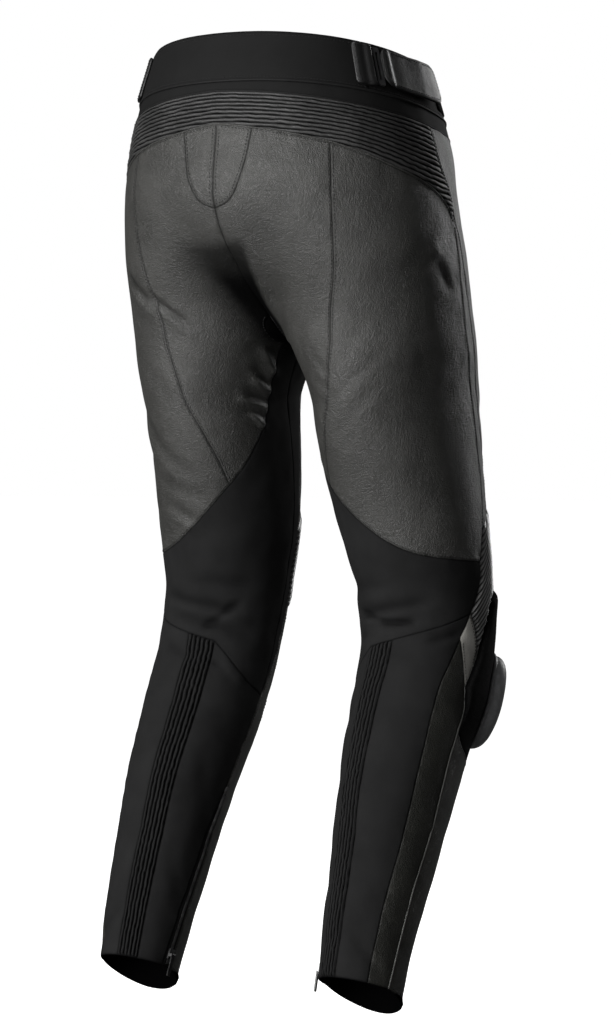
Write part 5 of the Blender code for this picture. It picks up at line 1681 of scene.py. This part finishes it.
@dataclass
class Stitching:
    """Rows of stitches beside the seams, joined into one mesh on each side."""

    pattern: Pattern
    pitch: float = 0.0033
    length: float = 0.0025
    radius: float = 0.00038
    proud: float = 0.00012
    # Steps along the row at which the cloth's direction is felt
    probes: tuple[float, float, float] = (-0.0005, 0.0, 0.0005)

    def __post_init__(self) -> None:
        """One stitch: a five-sided grain along x, its tips drawn down."""
        turns = np.arange(5) * (2.0 * np.pi / 5.0)
        ring = np.stack([np.zeros(5), np.cos(turns), np.sin(turns)], axis=1)
        shoulder = (0.32, 0.0, 0.0)
        left, right = ring - shoulder, ring + shoulder
        tips = np.array([[-0.5, 0.0, -0.9], [0.5, 0.0, -0.9]])
        self.grain = np.concatenate([tips, left, right])
        index = np.arange(5)
        after = (index + 1) % 5
        self.grain_faces = np.concatenate([
            np.stack([np.zeros(5, int), 2 + after, 2 + index], axis=1),
            np.stack([np.ones(5, int), 7 + index, 7 + after], axis=1),
            np.stack([2 + index, 2 + after, 7 + after], axis=1),
            np.stack([2 + index, 7 + after, 7 + index], axis=1)])
        self.rows: dict[Side, list[tuple[Array, Array, Array]]] = {}

    def add_row(self, run: Array, offset: float, side: Side, relief: Relief, base: float,
                bend: Callable[[Array], Array] | None = None) -> None:
        """Adds a row at an offset inside a piece's seam.

        Args:
            run: the seam's places, in the direction of the piece's loop.
            offset: how far inside the seam the row lies.
            side: where the piece lies.
            relief: the piece's surface relief, so the row lies on it.
            base: the piece's lift.
            bend: how far the piece stands further off at each place.
        """
        flat = to_flat(run)
        ahead = unit(np.gradient(flat, axis=0))
        flat = flat + np.stack([-ahead[:, 1], ahead[:, 0]], axis=1) * offset
        length = lengths_along(flat)
        count = int((length[-1] - 2.0 * offset) / self.pitch)
        if count < 2:
            return
        marks = offset + self.pitch * (np.arange(count) + 0.5)
        spots = [from_flat(resampled(marks + shift, length, flat)) for shift in self.probes]
        before, _ = FORM.cloth(spots[0], side)
        point, normal = FORM.cloth(spots[1], side)
        after, _ = FORM.cloth(spots[2], side)
        along = unit(after - before)
        lift = base + relief.lift(point, np.full(len(point), offset)) + self.proud
        lift = lift + (bend(spots[1]) if bend else 0.0)
        centre = point + normal * lift[:, None]
        self.rows.setdefault(side, []).append((centre, along, normal))

    def build(self) -> None:
        """Joins all the rows of each side into one object."""
        for side, rows in self.rows.items():
            centre, along, normal = (np.concatenate(kind) for kind in zip(*rows))
            grain = self.grain * (self.length, self.radius, self.radius)
            points, faces = scattered(grain, self.grain_faces, centre,
                                      (along, np.cross(normal, along), normal))
            name = f"stitches_{side.value or 'centre'}"
            settle(make_object(name, points, faces, finish_of("thread")))


def tube(path: Array, normal: Array, radius: float, sides: int = 8) -> tuple[Array, Array]:
    """A round tube along a path: rings of points joined by triangles, with closed ends.

    Args:
        path: the middle's points.
        normal: the cloth's outward direction at each of them.
        radius: the tube's radius.
        sides: points on each ring.

    Returns:
        The tube's points and triangles.
    """
    ahead = unit(np.gradient(path, axis=0))
    across = unit(np.cross(normal, ahead))
    up = np.cross(ahead, across)
    turn = np.arange(sides) * (2.0 * np.pi / sides)
    rings = (path[:, None] + across[:, None] * (radius * np.cos(turn))[None, :, None]
             + up[:, None] * (radius * np.sin(turn))[None, :, None])
    points = np.concatenate([rings.reshape(-1, 3), path[:1], path[-1:]])
    return points, ring_faces(len(path), sides)


@dataclass
class Piping:
    """Round cords sewn into a seam."""

    pattern: Pattern
    radius: float = 0.0014

    def lay(self, name: str, seams: tuple[tuple[str, ...], ...], finish: str, lift: float,
            side: Side, radius: float | None = None) -> None:
        """Lays cords along runs of seams and joins them into one object.

        Args:
            name: the piece's name.
            seams: for each cord, the seams it follows.
            finish: its finish.
            lift: how far its middle lies off the form.
            side: where it lies.
            radius: its radius, if not the usual one.
        """
        points, faces, start = [], [], 0
        for names in seams:
            places = []
            for seam in names:
                run = self.pattern.turned(seam)
                places.append(run[1:] if places else run)
            places = np.concatenate(places)
            path, normal = FORM.cloth(places, side)
            path = path + normal * (lift + BAND.lift(path, np.full(len(path), 0.01)) * 0.5)[:, None]
            made, rows = tube(path, normal, radius or self.radius)
            points.append(made)
            faces.append(rows + start)
            start += len(made)
        piece = make_object(name, np.concatenate(points), np.concatenate(faces), finish_of(finish))
        settle(piece)


class SewnPanels:
    """All the cut and sewn panels, with their stitches."""

    def __init__(self, pattern: Pattern) -> None:
        """Keeps the pattern and starts the stitching."""
        self.pattern = pattern
        self.stitching = Stitching(pattern)

    def build(self) -> None:
        """Makes each panel on its sides."""
        for panel in PANELS:
            parts = self.pattern.parts(panel.seams)
            loop = np.concatenate([run[:-1] for _, run in parts])
            ribs = None
            if panel.ribs is not Ribs.NONE:
                ribs = RibField(panel.ribs, self.pattern, *RIB_SHAPES[panel.ribs])
            maker = ShellMaker(loop, panel.edge, ribs)
            for side in panel.sides:
                node = panel.name if panel.single else side.named(panel.name)
                sew(node, maker.build(side, panel.wall, panel.relief), panel.finish)
                for run in (run for name, run in parts if name in panel.stitched):
                    for offset in panel.rows:
                        self.stitching.add_row(run, offset, side, panel.relief, 0.0)
        self.stitching.build()


def rounded_loop(left: float, right: float, high: float, low: float, radius: float,
                 step: float = 0.0025) -> Array:
    """A patch's outline with rounded corners, sampled evenly.

    Args:
        left: its first place round.
        right: its last place round.
        high: the drop of its top edge.
        low: the drop of its bottom edge.
        radius: of its corners, in metres.
        step: the spacing of its points.

    Returns:
        (round, down) rows.
    """
    centres = ((right, low, 0.0, -1.0, -1.0), (left, low, 90.0, 1.0, -1.0),
               (left, high, 180.0, 1.0, 1.0), (right, high, 270.0, -1.0, 1.0))
    wide = radius / WAIST_GIRTH
    points = []
    for turn, down, start, way_turn, way_down in centres:
        for angle in np.radians(start + np.linspace(0.0, 90.0, 7)):
            points.append((turn + way_turn * wide + wide * math.cos(angle),
                           down + way_down * radius + radius * math.sin(angle)))
    corners = np.array(points + points[:1])
    length = lengths_along(corners * (WAIST_GIRTH, 1.0))
    marks = np.linspace(0.0, length[-1], int(length[-1] / step) + 1)[:-1]
    return resampled(marks, length, corners)


@dataclass(frozen=True)
class Patch:
    """A patch that lies on the waistband: its outline, thickness and finish."""

    name: str
    outline: tuple[float, float, float, float, float]
    thick: float
    finish: str
    sides: tuple[Side, ...] = BOTH
    rows: tuple[float, ...] = (0.0026,)
    raised: float = 0.0006
    rolls: tuple[tuple[float, float, float], ...] = ()
    flap: tuple[float, float, float] = (0.0, 1.0, 0.0)

    def bend(self, places: Array) -> Array:
        """Rolls across the patch, each a flat-topped bell, and a lifted free end.

        Args:
            places: (round, down) rows.

        Returns:
            How far the patch is raised at each place.
        """
        start, end, height = self.flap
        total = height * smooth_step(places[:, 0], start, end)
        for middle, half, rise in self.rolls:
            total = total + rise * np.exp(-(((places[:, 0] - middle) / half) ** 4))
        return total


@dataclass
class WaistFittings:
    """What lies on the waistband: adjuster loops, straps, hook patches and the closing tab."""

    stitching: Stitching
    edge: float = 0.0026
    patches: tuple[Patch, ...] = (
        Patch("adjuster_loop", (0.298, 0.346, -0.050, -0.006, 0.003), 0.0028, "strap",
              rolls=((0.310, 0.008, 0.0012), (0.336, 0.009, 0.0022))),
        Patch("adjuster_strap", (0.372, 0.548, -0.050, -0.010, 0.010), 0.0024, "strap",
              rolls=((0.384, 0.012, 0.0024),), flap=(0.44, 0.55, 0.0060)),
        Patch("adjuster_hook_patch", (0.556, 0.640, -0.051, -0.008, 0.004), 0.0014, "hook_tape",
              rows=()),
        Patch("waist_closing_tab", (0.930, 1.055, -0.046, -0.010, 0.008), 0.0022, "strap",
              CENTRE_ONLY),
    )

    def build(self) -> None:
        """Makes each patch with a rolled edge and a row of stitches round it."""
        relief = Relief(roll_depth=0.0006, roll_width=0.0022, pucker=0.0, ripple=0.00012, sag=0.0002)
        for patch in self.patches:
            loop = rounded_loop(*patch.outline)
            loop = loop if loop_area(loop) > 0.0 else loop[::-1]
            closed = np.concatenate([loop, loop[:1]])
            maker = ShellMaker(loop, self.edge)
            base = patch.raised + patch.thick
            for side in patch.sides:
                shell = maker.build(side, patch.thick, relief, base, 0.0, patch.bend)
                sew(side.named(patch.name), shell, patch.finish, 0.4, 0.0)
                for offset in patch.rows:
                    self.stitching.add_row(closed, offset, side, relief, base, patch.bend)


@dataclass
class KneeSlider:
    """The hard puck on each knee: a rounded outline with a stepped rim and a domed face."""

    place: tuple[float, float] = (0.690, 0.6135)
    half: tuple[float, float] = (0.037, 0.045)
    rise: float = 0.0180
    foot: float = 0.0006
    squareness: float = 2.6
    narrows: float = 0.16
    spokes: int = 96

    def build(self) -> None:
        """Rings of the outline, lifted by a profile: a foot, a groove, a flank and a dome."""
        profile = np.array([
            (1.000, 0.0000), (1.010, 0.0008), (1.010, 0.0022), (0.995, 0.0030), (0.975, 0.0031),
            (0.962, 0.0036), (0.956, 0.0052), (0.945, 0.0074), (0.925, 0.0094), (0.890, 0.0114),
            (0.840, 0.0131), (0.770, 0.0145), (0.730, 0.0150), (0.705, 0.0148), (0.690, 0.0149),
            (0.660, 0.0156), (0.560, 0.0161), (0.420, 0.0164), (0.250, 0.0165), (0.100, 0.0165)])
        angle = np.arange(self.spokes) * (2.0 * np.pi / self.spokes)
        power = self.squareness
        squared = (np.abs(np.cos(angle)) ** power + np.abs(np.sin(angle)) ** power) ** (-1.0 / power)
        taper = 1.0 - self.narrows * np.sin(angle)
        across = squared * np.cos(angle) * self.half[0] * taper / FLAT_SCALE[0]
        along = squared * np.sin(angle) * self.half[1]
        shape = np.stack([across, along], axis=1)
        places = (np.array(self.place) + profile[:, 0].reshape(-1, 1, 1) * shape[None]).reshape(-1, 2)
        places = np.concatenate([places, [self.place], [self.place]])
        full = profile[-1, 1]
        heights = np.repeat(profile[:, 1] * self.rise / full, self.spokes)
        heights = np.concatenate([heights, [0.0, self.rise]])
        heights = heights + self.foot + PAD.raised * pad_share(places)
        faces = ring_faces(len(profile), self.spokes)
        for side in BOTH:
            point, normal = FORM.cloth(places, side)
            node = side.named("knee_slider")
            piece = make_object(f"{node}_puck", point + normal * heights[:, None],
                                faces[:, ::-1] if side is Side.RIGHT else faces,
                                finish_of("slider_plastic"))
            settle(piece, (node,))


@dataclass
class AnkleZip:
    """The teeth of each ankle zip, along the middle of its tape."""

    pattern: Pattern
    pitch: float = 0.0016
    tooth: tuple[float, float, float] = (0.0019, 0.0010, 0.0011)
    top: float = 0.726
    hem_gap: float = 0.002
    shift: float = 0.0007
    samples: int = 400

    def build(self) -> None:
        """Two rows of small blocks that interlock down to the slider."""
        downs = np.linspace(self.top, HEM - self.hem_gap, self.samples)
        front = self.pattern.height("zip_front", downs, upright=True)
        back = self.pattern.height("zip_back", downs, upright=True)
        middle = np.stack([(front + back) / 2.0, downs], axis=1)
        ends = (-0.5, 0.5)
        box = np.array([[x, y, z] for x in ends for y in ends for z in ends])
        quads = np.array([[0, 1, 3, 2], [4, 6, 7, 5], [0, 4, 5, 1],
                          [2, 3, 7, 6], [0, 2, 6, 4], [1, 5, 7, 3]])
        for side in BOTH:
            path, normal = FORM.cloth(middle, side)
            length = lengths_along(path)
            marks = np.arange(0.0, length[-1], self.pitch / 2.0)
            centre, up = (resampled(marks, length, values) for values in (path, normal))
            along = unit(np.gradient(centre, axis=0))
            across = np.cross(up, along)
            shift = np.where(np.arange(len(marks)) % 2 == 0, self.shift, -self.shift)[:, None]
            centre = centre + across * shift + up * self.shift
            points, faces = scattered(box * self.tooth, quads, centre, (across, along, up))
            piece = make_object(side.named("ankle_zip_teeth"), points, faces, finish_of("metal"),
                                smooth=False)
            settle(piece)


@dataclass
class Studio:
    """The pale floor, the soft light and the camera."""

    centre: tuple[float, float, float] = (0.0, 0.0, -0.4277)
    azimuth: float = 32.1
    elevation: float = 1.07
    distance: float = 3.39
    lens: float = 110.06
    shift: tuple[float, float] = (0.0146, 0.0025)
    floor_drop: float = -1.06
    floor_size: float = 40.0
    # How much higher than wide each lamp is
    tall: float = 1.6
    fill: float = 0.07
    glow: float = 1.0
    # Each lamp's name, azimuth, elevation, distance, width and power
    lamps: tuple[tuple[str, float, float, float, float, float], ...] = (
        ("key_light", -18.0, 9.0, 3.0, 1.7, 185.0), ("top_light", 5.0, 62.0, 2.4, 0.9, 14.0),
        ("low_light", 8.0, -10.0, 3.0, 1.2, 34.0), ("rim_light", 166.0, 20.0, 2.6, 0.8, 17.0))

    def direction(self, azimuth: float, elevation: float) -> Vector:
        """The direction from the trousers to a place, from the back towards the wearer's right."""
        turn, rise = math.radians(azimuth), math.radians(elevation)
        return Vector((-math.sin(turn) * math.cos(rise), math.cos(turn) * math.cos(rise), math.sin(rise)))

    def aim(self, name: str, data: bpy.types.Camera | bpy.types.Light, azimuth: float,
            elevation: float, distance: float) -> bpy.types.Object:
        """Puts a camera or a light in the scene, aimed at the trousers.

        Args:
            name: the object's name.
            data: its camera or light.
            azimuth: degrees round from the back towards the wearer's right.
            elevation: degrees up.
            distance: metres from the trousers' middle.

        Returns:
            The object.
        """
        placed = bpy.data.objects.new(name, data)
        towards = self.direction(azimuth, elevation)
        placed.location = Vector(self.centre) + towards * distance
        placed.rotation_mode = "QUATERNION"
        placed.rotation_quaternion = (-towards).to_track_quat("-Z", "Y")
        bpy.context.scene.collection.objects.link(placed)
        return placed

    def camera(self) -> None:
        """The camera at the photograph's angle."""
        data = bpy.data.cameras.new("camera")
        data.lens = self.lens
        data.shift_x, data.shift_y = self.shift
        bpy.context.scene.camera = self.aim("camera", data, self.azimuth, self.elevation,
                                            self.distance)

    def lamp(self, name: str, azimuth: float, elevation: float, distance: float, size: float,
             power: float) -> None:
        """A soft upright light aimed at the trousers.

        Args:
            name: the light's name.
            azimuth: degrees round from the back towards the wearer's right.
            elevation: degrees up.
            distance: metres from the trousers' middle.
            size: its width.
            power: in watts.
        """
        data = bpy.data.lights.new(name, "AREA")
        data.shape = "RECTANGLE"
        data.size = size
        data.size_y = size * self.tall
        data.energy = power
        self.aim(name, data, azimuth, elevation, distance)

    def build(self) -> None:
        """Floor, world, lights and camera."""
        corners = ((-1.0, -1.0), (1.0, -1.0), (1.0, 1.0), (-1.0, 1.0))
        points = np.array([[x * self.floor_size, y * self.floor_size, self.floor_drop]
                           for x, y in corners])
        paint = Paint("pale_floor")
        pale = paint.finish(Base_Color=(0.86, 0.86, 0.86, 1.0), Roughness=0.9, Specular_IOR_Level=0.1,
                            Emission_Color=(1.0, 1.0, 1.0, 1.0), Emission_Strength=self.glow)
        floor = make_object("floor", points, np.array([[0, 1, 2, 3]]), pale, smooth=False)
        floor.visible_diffuse = False
        floor.visible_glossy = False
        world = bpy.data.worlds.new("studio")
        world.use_nodes = True
        tree = world.node_tree
        seen = Sock(tree, tree.nodes.new("ShaderNodeLightPath").outputs["Is Camera Ray"])
        back = tree.nodes["Background"]
        back.inputs["Color"].default_value = (1.0, 1.0, 1.0, 1.0)
        tree.links.new((seen * (1.0 - self.fill) + self.fill).socket, back.inputs["Strength"])
        bpy.context.scene.world = world
        bpy.context.scene.view_settings.view_transform = "Standard"
        for lamp in self.lamps:
            self.lamp(*lamp)
        self.camera()


def dress_nodes() -> None:
    """Gives the hard pieces that keep their own shape a finish."""
    paired = {"adjuster_ring": "buckle_plastic", "ankle_slider": "metal", "ankle_pull": "pull"}
    finishes = {side.named(name): finish for name, finish in paired.items() for side in BOTH}
    for name, finish in {**finishes, "waist_snap": "metal"}.items():
        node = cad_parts[name]
        node.data.materials.clear()
        node.data.materials.append(finish_of(finish))


def main() -> None:
    """Builds every piece in order."""
    logging.basicConfig(level=logging.INFO, format="%(name)s: %(message)s")
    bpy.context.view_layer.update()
    Studio().build()
    pattern = Pattern()
    sewn = SewnPanels(pattern)
    fittings = WaistFittings(sewn.stitching)
    fittings.build()
    sewn.build()
    piping = Piping(pattern)
    waist_cord = across_centre("waist_seam_back", "waist_seam_front")
    low_cord = across_centre("piping_low_back", "piping_low_front")
    yoke_cord = across_centre("yoke_low_tail", "yoke_low_seat", "yoke_low_side")
    piping.lay("waist_cord", (waist_cord,), "cord", 0.0003, Side.CENTRE)
    piping.lay("low_cord", (low_cord,), "cord", -0.0003, Side.CENTRE, 0.0009)
    piping.lay("yoke_binding", (yoke_cord,), "leather", -0.0002, Side.CENTRE, 0.0009)
    for side in BOTH:
        piping.lay(side.named("shin_cord"), (("base_back_low", "base_back_piping", "shin_piping"),),
                   "shin_cord", -0.0002, side, 0.0012)
        piping.lay(side.named("base_cord"), (("base_back_high",),), "leather", -0.0002, side,
                   0.0013)
    KneeSlider().build()
    AnkleZip(pattern).build()
    dress_nodes()


if __name__ == "__main__":
    main()
